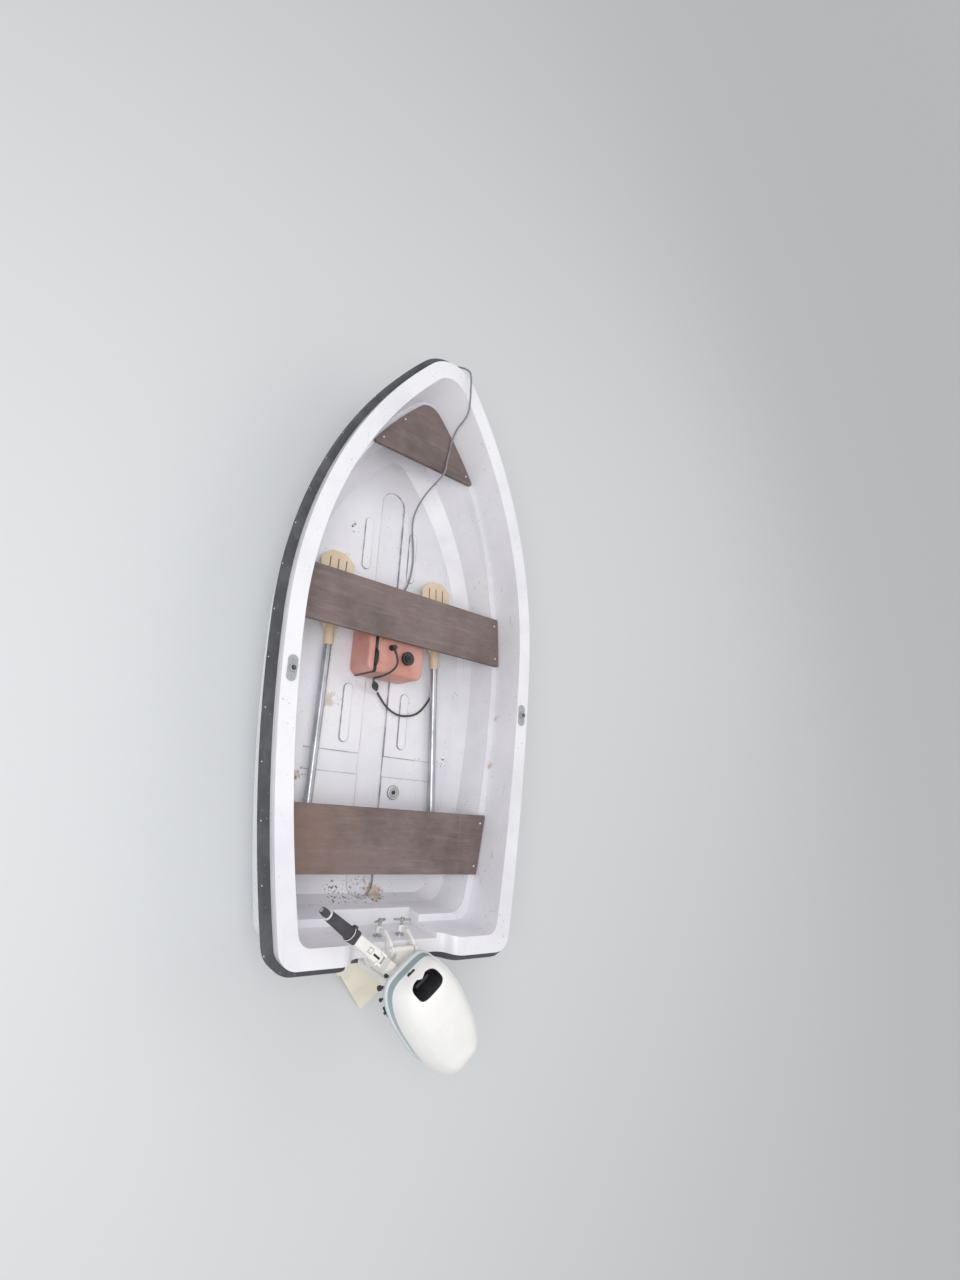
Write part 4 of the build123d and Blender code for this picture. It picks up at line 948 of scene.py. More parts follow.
class Shape:
    """A mesh that grows part by part, each part shaped at the origin and then set in place."""

    def __init__(self) -> None:
        """Starts with nothing."""
        self.mesh = bmesh.new()

    def take(self, part: bmesh.types.BMesh, at: Matrix) -> None:
        """Moves a finished part to its place and adds it.

        Args:
            part: The part, which is used up.
            at: Its place.
        """
        bmesh.ops.recalc_face_normals(part, faces=part.faces)
        part.transform(at)
        data = bpy.data.meshes.new("part")
        part.to_mesh(data)
        part.free()
        self.mesh.from_mesh(data)
        bpy.data.meshes.remove(data)

    def block(self, size: Point, at: Matrix, round_off: float = 0.001, steps: int = 2) -> None:
        """Adds a block centred on its place, with rounded edges.

        Args:
            size: Its length, width and height.
            at: Its place.
            round_off: How far its edges are rounded.
            steps: Facets across an edge.
        """
        part = bmesh.new()
        bmesh.ops.create_cube(part, size=1.0, matrix=Matrix.Diagonal((*size, 1.0)))
        self._soften(part, list(part.edges), round_off, steps)
        self.take(part, at)

    def _soften(self, part: bmesh.types.BMesh, edges: list, width: float, steps: int) -> None:
        """Rounds some edges of a part.

        Args:
            part: The part.
            edges: The edges.
            width: How far they are rounded.
            steps: Facets across an edge.
        """
        bmesh.ops.bevel(
            part, geom=edges, offset=width, segments=steps, profile=0.5, affect="EDGES",
            material=-1, clamp_overlap=True,
        )

    def lathe(self, profile: list[tuple[float, float]], at: Matrix, steps: int = 40) -> None:
        """Adds a turned part.

        Args:
            profile: Distance along X and radius, from end to end.
            at: Its place.
            steps: Sides round it.
        """
        part = bmesh.new()
        ring = [part.verts.new((x, 0.0, radius)) for x, radius in profile]
        edges = [part.edges.new(pair) for pair in zip(ring, ring[1:])]
        bmesh.ops.spin(
            part, geom=ring + edges, cent=(0, 0, 0), axis=(1, 0, 0), angle=math.tau, steps=steps,
            use_merge=True,
        )
        bmesh.ops.remove_doubles(part, verts=part.verts, dist=MERGE)
        self.take(part, at)

    def pad(self, corners: list[tuple[float, float]], height: float, at: Matrix, round_off: float) -> None:
        """Adds a plate from its outline in XY, standing on Z = 0, with rounded edges.

        Args:
            corners: The outline's points.
            height: The plate's thickness.
            at: Its place.
            round_off: How far its edges are rounded.
        """
        part = bmesh.new()
        face = part.faces.new([part.verts.new((x, y, 0.0)) for x, y in corners])
        grown = bmesh.ops.extrude_face_region(part, geom=[face])
        raised = [v for v in grown["geom"] if isinstance(v, bmesh.types.BMVert)]
        bmesh.ops.translate(part, verts=raised, vec=(0, 0, height))
        bmesh.ops.recalc_face_normals(part, faces=part.faces)
        sharp = [edge for edge in part.edges if edge.calc_face_angle(0.0) > SHARP]
        self._soften(part, sharp, round_off, 2)
        self.take(part, at)

    def skin(self, rings: list[list[Vector]], at: Matrix) -> None:
        """Adds a closed body from its levels, each a ring with as many points."""
        self.take(skinned(rings), at)

    def rope(self, path: list[Vector], radius: float, sides: int = 14) -> None:
        """Adds a round tube along a path."""
        self.take(rope_mesh(path, radius, sides), Matrix.Identity(4))

    def screw(self, radius: float, at: Matrix) -> None:
        """Adds a domed screw head with a sunk middle, its axis along Z.

        Args:
            radius: The head's radius.
            at: Its place.
        """
        part = bmesh.new()
        bmesh.ops.create_cone(
            part, cap_ends=True, segments=16, radius1=radius, radius2=radius * 0.72, depth=radius * 0.5,
            matrix=Matrix.Translation((0, 0, radius * 0.25)),
        )
        top = max(part.faces, key=lambda face: face.calc_center_median().z)
        bmesh.ops.inset_region(part, faces=[top], thickness=radius * 0.3)
        bmesh.ops.translate(part, verts=list(top.verts), vec=(0, 0, -radius * 0.22))
        self.take(part, at)

    def piece(
        self, name: str, paint: Paintbox, slot: Slot, body: Body, smooth: float = 35.0
    ) -> bpy.types.Object:
        """Ends the shape.

        Args:
            name: The piece's name.
            paint: The materials.
            slot: The finish.
            body: The body that it moves with.
            smooth: Edges flatter than this many degrees are shaded smooth.

        Returns:
            The piece.
        """
        data = bpy.data.meshes.new(name)
        for edge in self.mesh.edges:
            edge.smooth = len(edge.link_faces) != 2 or edge.calc_face_angle(0.0) < math.radians(smooth)
        for face in self.mesh.faces:
            face.smooth = True
        self.mesh.to_mesh(data)
        self.mesh.free()
        made = bpy.data.objects.new(name, data)
        bpy.context.scene.collection.objects.link(made)
        paint.settle(made, slot, body)
        return made


def at_point(x: float, y: float, z: float) -> Matrix:
    """Place without a turn."""
    return Matrix.Translation((x, y, z))


def facing(point: Vector, way: Vector) -> Matrix:
    """Place whose Z looks along a direction."""
    return Matrix.Translation(point) @ way.to_track_quat("Z", "Y").to_matrix().to_4x4()


def along(point: Vector, way: Vector) -> Matrix:
    """Place whose X looks along a direction."""
    return Matrix.Translation(point) @ way.to_track_quat("X", "Z").to_matrix().to_4x4()


def upright(x: float, y: float, z: float) -> Matrix:
    """Place whose X looks up, for a turned part that stands."""
    return facing(Vector((x, y, z)), UP) @ Matrix.Rotation(-math.pi / 2, 4, "Y")


def mm_pairs(pairs: list[tuple[float, float]]) -> list[tuple[float, float]]:
    """Pairs in millimetres, such as a profile or an outline, brought to metres."""
    return [(first * MM, second * MM) for first, second in pairs]


class Surface:
    """A CAD node's surface, for finding where trim sits."""

    def __init__(self, node: bpy.types.Object) -> None:
        """Reads the node's mesh.

        Args:
            node: The node.
        """
        data = node.data
        corners = [vert.co for vert in data.vertices]
        self.tree = BVHTree.FromPolygons(corners, [face.vertices[:] for face in data.polygons])

    def hit(self, start: Vector, way: Vector) -> tuple[Vector, Vector] | None:
        """Meets the surface with a ray.

        Args:
            start: Where the ray starts.
            way: Where it goes.

        Returns:
            The point and the normal towards the ray, or None if it meets nothing.
        """
        point, normal, _, _ = self.tree.ray_cast(start, way.normalized())
        if point is None:
            return None
        return point, normal if normal.dot(way) < 0 else -normal


# Camera and stage


@dataclass
class Studio:
    """Camera at the photograph's view, plain floor at the waterline, and soft lamps."""

    camera_at: Point = (0.462, 1.711, 2.650)
    camera_up: Point = (0.963, 0.215, 0.160)
    camera_back: Point = (-0.263, 0.643, 0.720)
    lens: float = 19.69
    sensor: float = 36.0
    floor_half: float = 40.0
    floor_colour: Colour = srgb(214, 216, 218)
    floor_roughness: float = 0.9
    floor_gloss: float = 0.1
    sky: float = 0.68
    backdrop: float = 0.8
    key_at: Point = (0.2, 2.6, 4.0)
    key_size: float = 2.6
    key_power: float = 96.0
    fill_at: Point = (2.6, -2.4, 3.6)
    fill_size: float = 3.4
    fill_power: float = 22.0
    aim: Point = (1.1, 0.0, 0.2)

    def build(self) -> None:
        """Makes the camera, the floor, the world and the lamps."""
        bpy.context.scene.view_settings.view_transform = "Standard"
        self._camera()
        self._floor()
        self._world()
        self._lamp("key_lamp", self.key_at, self.key_size, self.key_power)
        self._lamp("fill_lamp", self.fill_at, self.fill_size, self.fill_power)

    def _camera(self) -> None:
        """Sets the camera by its own axes."""
        back = Vector(self.camera_back).normalized()
        right = Vector(self.camera_up).cross(back).normalized()
        turn = Matrix((right, back.cross(right), back)).transposed().to_4x4()
        data = bpy.data.cameras.new("camera")
        data.lens = self.lens
        data.sensor_width = self.sensor
        camera = bpy.data.objects.new("camera", data)
        camera.matrix_world = Matrix.Translation(self.camera_at) @ turn
        bpy.context.scene.collection.objects.link(camera)
        bpy.context.scene.camera = camera

    def _floor(self) -> None:
        """Makes the pale floor at the waterline."""
        mesh = bmesh.new()
        bmesh.ops.create_grid(mesh, x_segments=1, y_segments=1, size=self.floor_half)
        data = bpy.data.meshes.new("floor")
        mesh.to_mesh(data)
        mesh.free()
        floor = bpy.data.objects.new("floor", data)
        bpy.context.scene.collection.objects.link(floor)
        material = bpy.data.materials.new("floor")
        material.use_nodes = True
        shader = material.node_tree.nodes["Principled BSDF"]
        shader.inputs["Base Color"].default_value = self.floor_colour
        shader.inputs["Roughness"].default_value = self.floor_roughness
        shader.inputs["Specular IOR Level"].default_value = self.floor_gloss
        data.materials.append(material)

    def _world(self) -> None:
        """Lights softly from all round, and shows a pale backdrop to the camera and in reflections."""
        world = bpy.data.worlds.new("world")
        bpy.context.scene.world = world
        world.use_nodes = True
        tree = Tree(world.node_tree)
        rays = tree.node("ShaderNodeLightPath")
        seen = tree.maths("MAXIMUM", rays.outputs["Is Camera Ray"], rays.outputs["Is Glossy Ray"])
        seen = tree.maths("MAXIMUM", seen, rays.outputs["Is Transmission Ray"])
        light = tree.node("ShaderNodeBackground", {0: (1, 1, 1, 1), 1: self.sky})
        shown = tree.node("ShaderNodeBackground", {0: (1, 1, 1, 1), 1: self.backdrop})
        both = tree.node("ShaderNodeMixShader", {0: seen, 1: light.outputs[0], 2: shown.outputs[0]})
        tree.link(both.outputs[0], world.node_tree.nodes["World Output"].inputs[0])

    def _lamp(self, name: str, place: Point, size: float, power: float) -> None:
        """Adds a soft square lamp that looks at the boat's middle.

        Args:
            name: Its name.
            place: Where it hangs.
            size: Its side.
            power: Its power in watts.
        """
        data = bpy.data.lights.new(name, "AREA")
        data.size = size
        data.energy = power
        lamp = bpy.data.objects.new(name, data)
        turn = (Vector(self.aim) - Vector(place)).to_track_quat("-Z", "Y")
        lamp.matrix_world = Matrix.Translation(place) @ turn.to_matrix().to_4x4()
        bpy.context.scene.collection.objects.link(lamp)


# Sub-assemblies


@dataclass
class Assembly:
    """A sub-assembly of the scene, with the finishes and the CAD nodes that it works with."""

    paint: Paintbox
    nodes: dict[str, bpy.types.Object]


# Cords


def nurbs_line(name: str, points: list[Vector], radius: float) -> bpy.types.Object:
    """A smooth line through its control points.

    Args:
        name: The curve's name.
        points: Control points.
        radius: Radius of its round section, or 0 for a bare line.

    Returns:
        The curve.
    """
    data = bpy.data.curves.new(name, "CURVE")
    data.dimensions = "3D"
    data.resolution_u = 8
    data.bevel_depth = radius
    data.bevel_resolution = 5
    data.use_fill_caps = True
    spline = data.splines.new("NURBS")
    spline.points.add(len(points) - 1)
    for knot, point in zip(spline.points, points):
        knot.co = (*point, 1.0)
    spline.order_u = 3
    spline.use_endpoint_u = True
    line = bpy.data.objects.new(name, data)
    bpy.context.scene.collection.objects.link(line)
    return line


def line_points(points: list[Vector]) -> list[Vector]:
    """Points along the smooth line of a route.

    Args:
        points: Control points of the route.

    Returns:
        Points on its line.
    """
    line = nurbs_line("route", points, 0.0)
    line.data.bevel_resolution = 0
    data = bpy.data.meshes.new_from_object(line)
    found = [v.co.copy() for v in data.vertices]
    bpy.data.objects.remove(line)
    bpy.data.meshes.remove(data)
    return found


def rope_mesh(path: list[Vector], radius: float, sides: int = 14) -> bmesh.types.BMesh:
    """A round tube along a path, with its length and its round way as its own coordinates.

    Args:
        path: Points that it follows.
        radius: Its radius.
        sides: Sides of its section.

    Returns:
        The mesh.
    """
    mesh = bmesh.new()
    layer = mesh.loops.layers.uv.new("UVMap")
    normal = (path[1] - path[0]).orthogonal().normalized()
    rings, loops, spots, reached = [], [], {}, 0.0
    for index, point in enumerate(path):
        before = path[max(index - 1, 0)]
        ahead = path[min(index + 1, len(path) - 1)] - before
        normal = (normal - ahead * (normal.dot(ahead) / ahead.length_squared)).normalized()
        side = ahead.normalized().cross(normal)
        turn = Matrix((normal, side, ahead.normalized())).transposed().to_4x4()
        place = Matrix.Translation(point) @ turn
        ring = bmesh.ops.create_circle(mesh, segments=sides, radius=radius, matrix=place)["verts"]
        reached += (point - before).length
        spots.update({vert: (reached, step) for step, vert in enumerate(ring)})
        rings.append(ring)
        loops.append(list(dict.fromkeys(edge for vert in ring for edge in vert.link_edges)))
    for first, second in zip(loops, loops[1:]):
        bmesh.ops.bridge_loops(mesh, edges=first + second)
    for face in mesh.faces:
        columns = [spots[loop.vert][1] for loop in face.loops]
        closing = max(columns) - min(columns) > sides / 2
        for loop, column in zip(face.loops, columns):
            round_way = sides if closing and column == 0 else column
            loop[layer].uv = (spots[loop.vert][0], round_way / sides)
    for ring in (rings[0], rings[-1]):
        mesh.faces.new(ring)
    bmesh.ops.recalc_face_normals(mesh, faces=mesh.faces)
    return mesh


def path_length(path: list[Vector]) -> float:
    """Length of a chain of points."""
    return sum((b - a).length for a, b in zip(path, path[1:]))


@dataclass
class Coil:
    """Flat coil whose turns lie beside each other, wound inwards."""

    centre: tuple[float, float]
    height: float
    outer: float
    pitch: float
    turns: float
    start: float
    way: int = 1
    per_turn: int = 14

    def points(self) -> list[Vector]:
        """Points round every turn.

        Returns:
            The points, the outermost turn first.
        """
        found = []
        count = round(self.turns * self.per_turn)
        for step in range(count + 1):
            share = step / self.per_turn
            angle = math.radians(self.start) + self.way * share * math.tau
            radius = self.outer - self.pitch * share
            spot = (self.centre[0] + radius * math.cos(angle), self.centre[1] + radius * math.sin(angle))
            found.append(Vector((*spot, self.height)))
        return found


def metres(route: list[Point]) -> list[Vector]:
    """A route in millimetres, brought to metres."""
    return [Vector(point) * MM for point in route]


@dataclass
class FuelLine(Assembly):
    """Hose from the tank's outlet through the primer bulb, and over the floor to its coil."""

    diameter: float = 9.0 * MM
    bulb_length: float = 66.0 * MM
    bulb_ribs: int = 7
    band_after: float = 6.0 * MM
    band_length: float = 8.0 * MM
    connector_at: Point = (1.4220, -0.0980, 0.0858)

    def build(self) -> None:
        """Makes both hoses, the bulb, its ring and the connector."""
        tank_route = metres([
            (1177.8, 37.5, 242.0),
            (1150.3, 23.2, 242.0),
            (1119.0, 29.0, 243.0),
            (1093.0, 50.0, 238.0),
            (1074.0, 76.0, 222.0),
            (1066.0, 93.0, 192.0),
            (1068.0, 88.0, 158.0),
            (1057.5, 65.0, 135.0),
        ])
        way = (tank_route[-1] - tank_route[-2]).normalized()
        bulb_end = tank_route[-1] + way * self.bulb_length
        floor_route = [bulb_end, bulb_end + way * 0.030] + metres([
            (1008.0, -23.0, 66.0),
            (983.0, -43.0, 69.0),
            (958.0, -74.0, 76.0),
            (941.0, -118.0, 84.0),
            (950.0, -182.0, 84.0),
            (970.0, -230.0, 73.6),
            (1003.0, -262.0, 73.3),
            (1044.0, -289.0, 73.3),
            (1090.0, -312.0, 73.3),
            (1141.0, -322.0, 73.3),
            (1192.0, -317.0, 73.3),
            (1240.0, -300.0, 73.3),
            (1285.0, -275.0, 73.3),
            (1331.0, -250.0, 73.3),
            (1380.0, -232.0, 73.3),
        ])
        coil = Coil((1.402, -0.150), 73.3 * MM, 73.0 * MM, 9.5 * MM, 3.0, -72.0)
        away = metres([
            (1430.0, -187.0, 75.0),
            (1446.0, -160.0, 83.0),
            (1446.0, -128.0, 86.5),
            (1436.0, -106.0, 86.3),
            (1422.0, -98.0, 86.3),
        ])
        floor_route += coil.points() + away
        short = nurbs_line("fuel_hose_to_bulb", tank_route, self.diameter / 2)
        long = nurbs_line("fuel_hose_line", floor_route, self.diameter / 2)
        bulb = self._bulb(tank_route[-1], way)
        ring = self._ring(bulb_end, way)
        connector = self._connector()
        for line, stood_for in ((short, ("fuel_hose_tank",)), (long, ("fuel_hose", "fuel_hose_coil"))):
            self.paint.settle(line, Slot.HOSE_RUBBER, Body.BOAT)
            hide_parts(*stood_for)
        path_length(line_points(tank_route))
        path_length(line_points(floor_route))

    def _bulb(self, start: Vector, way: Vector) -> bpy.types.Object:
        """Squeeze bulb with a nozzle at each end and shallow ribs.

        Args:
            start: Where it starts.
            way: Direction of its axis.

        Returns:
            The piece.
        """
        shape = Shape()
        profile = [(0.0, 0.0), (0.0, 6.2), (4.0, 7.8), (9.0, 8.2)]
        for step in range(25):
            share = step / 24
            swell = math.sin(math.pi * share) ** 0.7
            rib = 0.4 * math.cos(share * math.tau * self.bulb_ribs)
            profile.append((10.5 + 45.0 * share, 8.4 + (5.8 + rib) * swell))
        end = self.bulb_length / MM
        profile += [(57.0, 8.2), (62.0, 7.8), (end, 6.2), (end, 0.0)]
        shape.lathe(mm_pairs(profile), along(start, way))
        bulb = shape.piece("primer_bulb_moulded", self.paint, Slot.HOSE_RUBBER, Body.BOAT)
        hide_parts("primer_bulb")
        return bulb

    def _ring(self, start: Vector, way: Vector) -> bpy.types.Object:
        """White band on the hose just after the bulb.

        Args:
            start: The bulb's end.
            way: Direction of the hose.

        Returns:
            The piece.
        """
        shape = Shape()
        inner = self.diameter / 2 - 0.6 * MM
        low, high, length = 5.8 * MM, 6.6 * MM, self.band_length
        profile = [(0.0, inner), (0.0, low), (MM, high), (length - MM, high), (length, low), (length, inner)]
        shape.lathe(profile + [profile[0]], along(start + way * self.band_after, way), 28)
        return shape.piece("hose_band", self.paint, Slot.RING_WHITE, Body.BOAT)

    def _connector(self) -> bpy.types.Object:
        """Push-on connector with a release ring and a grip.

        Returns:
            The piece.
        """
        shape = Shape()
        way = Vector((-1.0, 0.05, 0.0))
        profile = [
            (0.0, 0.0), (0.0, 5.8), (3.0, 7.2), (12.0, 7.8), (12.5, 6.8), (15.0, 6.8),
            (15.5, 8.0), (28.0, 8.0), (30.0, 6.6), (40.0, 5.4), (42.0, 4.6), (42.0, 0.0),
        ]
        shape.lathe(mm_pairs(profile), along(Vector(self.connector_at), way), 28)
        made = shape.piece("hose_connector_moulded", self.paint, Slot.BLACK_PLASTIC, Body.BOAT)
        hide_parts("hose_connector")
        return made


@dataclass
class Painter(Assembly):
    """Rope from the bow eye over the gunwale and the bow thwart to its coil."""

    diameter: float = 8.0 * MM
    bow_knot_at: Point = (2.519, -0.001, 0.300)
    bow_knot_tight: float = 0.85
    end_knot_at: Point = (1.392, 0.095, 0.0865)
    end_knot_tight: float = 0.9

    def build(self) -> None:
        """Makes the rope and its two knots."""
        route = metres([
            (2524.0, -3.0, 313.8),
            (2548.0, -13.0, 347.0),
            (2562.0, -36.0, 392.0),
            (2552.0, -62.0, 436.0),
            (2520.0, -80.0, 476.0),
            (2474.0, -80.0, 488.0),
            (2424.0, -89.0, 478.0),
            (2365.0, -100.0, 466.0),
            (2322.0, -109.0, 446.0),
            (2302.0, -115.0, 408.0),
            (2292.0, -120.0, 366.0),
            (2282.0, -131.0, 332.0),
            (2246.0, -131.5, 309.5),
            (2196.0, -126.0, 306.5),
            (2130.0, -112.0, 307.5),
            (2076.0, -104.0, 316.0),
            (2046.0, -101.0, 282.0),
            (2024.0, -101.0, 222.0),
            (1996.0, -103.0, 160.0),
            (1952.0, -106.0, 106.0),
            (1898.0, -105.0, 80.0),
            (1838.0, -107.0, 81.0),
            (1766.0, -122.0, 79.0),
            (1690.0, -130.0, 79.0),
            (1612.0, -122.0, 80.0),
            (1540.0, -102.0, 78.0),
            (1496.0, -62.0, 77.0),
            (1480.0, -12.0, 70.0),
            (1483.0, 42.0, 74.0),
            (1486.0, 88.0, 76.0),
        ])
        coil = Coil((1.412, 0.135), 72.6 * MM, 64.0 * MM, 8.5 * MM, 4.0, 5.0)
        away = metres([
            (1433.0, 158.0, 74.0),
            (1418.0, 172.0, 80.5),
            (1398.0, 168.0, 84.0),
            (1388.0, 150.0, 84.5),
            (1388.0, 128.0, 84.0),
            (1391.0, 106.0, 85.0),
        ])
        route += coil.points() + away
        path = line_points(route)
        shape = Shape()
        shape.rope(path, self.diameter / 2)
        rope = shape.piece("painter_line", self.paint, Slot.PAINTER_ROPE, Body.BOAT)
        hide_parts("painter", "painter_coil")
        tied = self._bow_knot()
        end = self._end_knot()

    def _bow_knot(self) -> bpy.types.Object:
        """Turns of the rope through the bow eye and round its own part.

        Returns:
            The piece.
        """
        shape = Shape()
        turns = []
        for step in range(46):
            angle = step / 15 * math.tau
            lift = -9.0 + 18.0 * step / 45
            spot = Vector((6.5 * math.cos(angle), 7.5 * math.sin(angle), lift))
            turns.append(Vector(self.bow_knot_at) + spot * MM)
        shape.rope(line_points(turns), self.diameter / 2 * self.bow_knot_tight)
        knot = shape.piece("painter_bow_knot", self.paint, Slot.PAINTER_ROPE, Body.BOAT)
        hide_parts("painter_knot")
        return knot

    def _end_knot(self) -> bpy.types.Object:
        """Overhand knot that keeps the rope's end.

        Returns:
            The piece.
        """
        shape = Shape()
        loops = []
        for step in range(40):
            turn = step / 39 * math.tau
            x = 3.4 * (math.sin(turn) + 2 * math.sin(2 * turn))
            y = 3.4 * (math.cos(turn) - 2 * math.cos(2 * turn))
            spot = Vector((x, y, -3.0 * math.sin(3 * turn)))
            loops.append(Vector(self.end_knot_at) + spot * MM)
        shape.rope(line_points(loops), self.diameter / 2 * self.end_knot_tight)
        knot = shape.piece("painter_end_knot", self.paint, Slot.PAINTER_ROPE, Body.BOAT)
        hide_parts("painter_end")
        return knot


# Boat

SIDES = ((1, "port"), (-1, "starboard"))


@dataclass
class Moulding(Assembly):
    """What is screwed to the fender and the gunwale, and the bailer's plug."""

    middle: Point = (1.2, 0.0, 0.0)
    rail_screws: int = 46
    rail_screw_r: float = 3.2 * MM
    rail_top: float = 460.0 * MM
    rail_step: float = 12.0 * MM
    rail_levels: int = 12
    rail_half: float = 11.0 * MM
    socket_x: float = 986.0 * MM
    socket_y: float = 583.0 * MM
    plate_screw_x: float = 33.0 * MM
    plate_screw_r: float = 3.6 * MM
    sink: float = 0.4 * MM
    outside: float = 3.0
    above: float = 0.6

    def build(self) -> None:
        """Makes the fastenings and the plug."""
        self._rail_fastenings()
        self._plate_screws()
        self._bushes()
        self._drain()

    def _rail_fastenings(self) -> None:
        """Screw heads round the fender."""
        rail = Surface(self.nodes["rub_rail"])
        shape = Shape()
        for step in range(self.rail_screws):
            turn = (step + 0.5) / self.rail_screws * math.tau
            way = Vector((math.cos(turn) * 2.0, math.sin(turn), 0.0)).normalized()
            start = Vector(self.middle) + way * self.outside
            for drop in range(self.rail_levels):
                start.z = self.rail_top - drop * self.rail_step
                found = rail.hit(start, -way)
                if found and self._is_middle(rail, start, way):
                    shape.screw(self.rail_screw_r, facing(found[0] - found[1] * self.sink, found[1]))
                    break
        shape.piece("rail_screws", self.paint, Slot.RING_WHITE, Body.BOAT)

    def _is_middle(self, rail: Surface, start: Vector, way: Vector) -> bool:
        """Whether the fender also lies well above and below a ray's start."""
        return all(rail.hit(start + UP * shift, -way) for shift in (-self.rail_half, self.rail_half))

    def _plate_screws(self) -> None:
        """Two screws in each oarlock plate."""
        shape = Shape()
        for hand, name in SIDES:
            plate = Surface(self.nodes["oarlock_" + name])
            for side in (-1, 1):
                x = self.socket_x + side * self.plate_screw_x
                found = plate.hit(Vector((x, hand * self.socket_y, self.above)), -UP)
                if found:
                    shape.screw(self.plate_screw_r, facing(found[0], found[1]))
        shape.piece("oarlock_screws", self.paint, Slot.STAINLESS, Body.BOAT)

    def _bushes(self) -> None:
        """Dark bush in each oarlock's hole."""
        shape = Shape()
        profile = [(-9.0, 6.9), (-9.0, 9.4), (0.5, 9.4), (1.1, 8.8), (1.1, 7.5), (0.5, 6.9), (-9.0, 6.9)]
        for hand, name in SIDES:
            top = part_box("oarlock_" + name)[1].z
            shape.lathe(mm_pairs(profile), upright(self.socket_x, hand * self.socket_y, top), 32)
        shape.piece("oarlock_bushes", self.paint, Slot.BLACK_PLASTIC, Body.BOAT)

    def _drain(self) -> None:
        """Dark plug in the middle of the bailer."""
        low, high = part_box("drain")
        middle = (low + high) / 2
        shape = Shape()
        top = (high.z - low.z) / MM
        profile = [(0.0, 4.8), (2.0, 4.8), (top - 1.0, 8.2), (top + 0.5, 7.6), (top + 0.5, 0.0)]
        shape.lathe(mm_pairs(profile), upright(middle.x, middle.y, low.z), 24)
        shape.piece("drain_plug", self.paint, Slot.BLACK_PLASTIC, Body.BOAT)


@dataclass
class Thwarts(Assembly):
    """Screws of the plank seats."""

    inset: float = 22.0 * MM
    aft_inset: float = 35.2 * MM
    fore_insets: tuple[tuple[str, float], ...] = (
        ("thwart_aft", 35.2 * MM), ("thwart_middle", 35.2 * MM), ("thwart_bow", 132.0 * MM),
    )
    half_plank: float = 9.0 * MM
    screw_r: float = 4.2 * MM
    outside: float = 0.9

    def build(self) -> None:
        """Adds two screws at each end of the planks."""
        shape = Shape()
        for name, fore_inset in self.fore_insets:
            low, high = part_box(name)
            plank = Surface(self.nodes[name])
            for x in (low.x + self.aft_inset, high.x - fore_inset):
                for hand in (-1, 1):
                    self._from_edge(shape, plank, x, hand, high.z)
        shape.piece("thwart_screws", self.paint, Slot.RING_WHITE, Body.BOAT)

    def _from_edge(self, shape: Shape, plank: Surface, x: float, hand: int, top: float) -> None:
        """Puts one screw a little in from the plank's end.

        Args:
            shape: The mesh that it is added to.
            plank: The plank's surface.
            x: Its place along the boat.
            hand: 1 for the port end, -1 for the starboard end.
            top: Height of the plank's top.
        """
        start = Vector((x, hand * self.outside, top - self.half_plank))
        edge = plank.hit(start, Vector((0, -hand, 0)))
        if edge:
            place = Vector((x, edge[0].y - hand * self.inset, top))
            shape.screw(self.screw_r, facing(place, UP))


@dataclass
class OarTrim(Assembly):
    """Dark strips in the blades of the oars, painted shade along their groove lines."""

    handles: tuple[Point, ...] = ((300.0, 293.0, 86.4), (300.0, -350.0, 86.6))
    tips: tuple[Point, ...] = ((1606.0, 276.0, 89.5), (1606.0, -252.0, 108.0))
    groove_from_tip: float = 105.0 * MM
    groove_pitch: float = 40.0 * MM
    groove_size: Point = (146.0 * MM, 4.2 * MM, 1.2 * MM)
    groove_middle: float = 3.1 * MM

    def build(self) -> None:
        """Makes the trim of both oars."""
        for (_, side), handle, tip in zip(SIDES, self.handles, self.tips):
            start, end = Vector(handle) * MM, Vector(tip) * MM
            frame = self._frame(start, end)
            x = (end - start).length - self.groove_from_tip
            shape = Shape()
            for y in (-self.groove_pitch, 0.0, self.groove_pitch):
                # Each dark block is painted shade, laid where the blade has a groove.
                shape.block(self.groove_size, frame @ at_point(x, y, self.groove_middle), 0.3 * MM, 1)
            shape.piece(f"oar_{side}_groove_shade", self.paint, Slot.BLACK_PLASTIC, Body.BOAT)

    def _frame(self, start: Vector, end: Vector) -> Matrix:
        """Frame at the handle's end, X along the shaft and Z up.

        Args:
            start: The handle's end.
            end: The blade's tip.

        Returns:
            The frame.
        """
        run = (end - start).normalized()
        side = UP.cross(run).normalized()
        turn = Matrix((run, side, run.cross(side))).transposed().to_4x4()
        return Matrix.Translation(start) @ turn


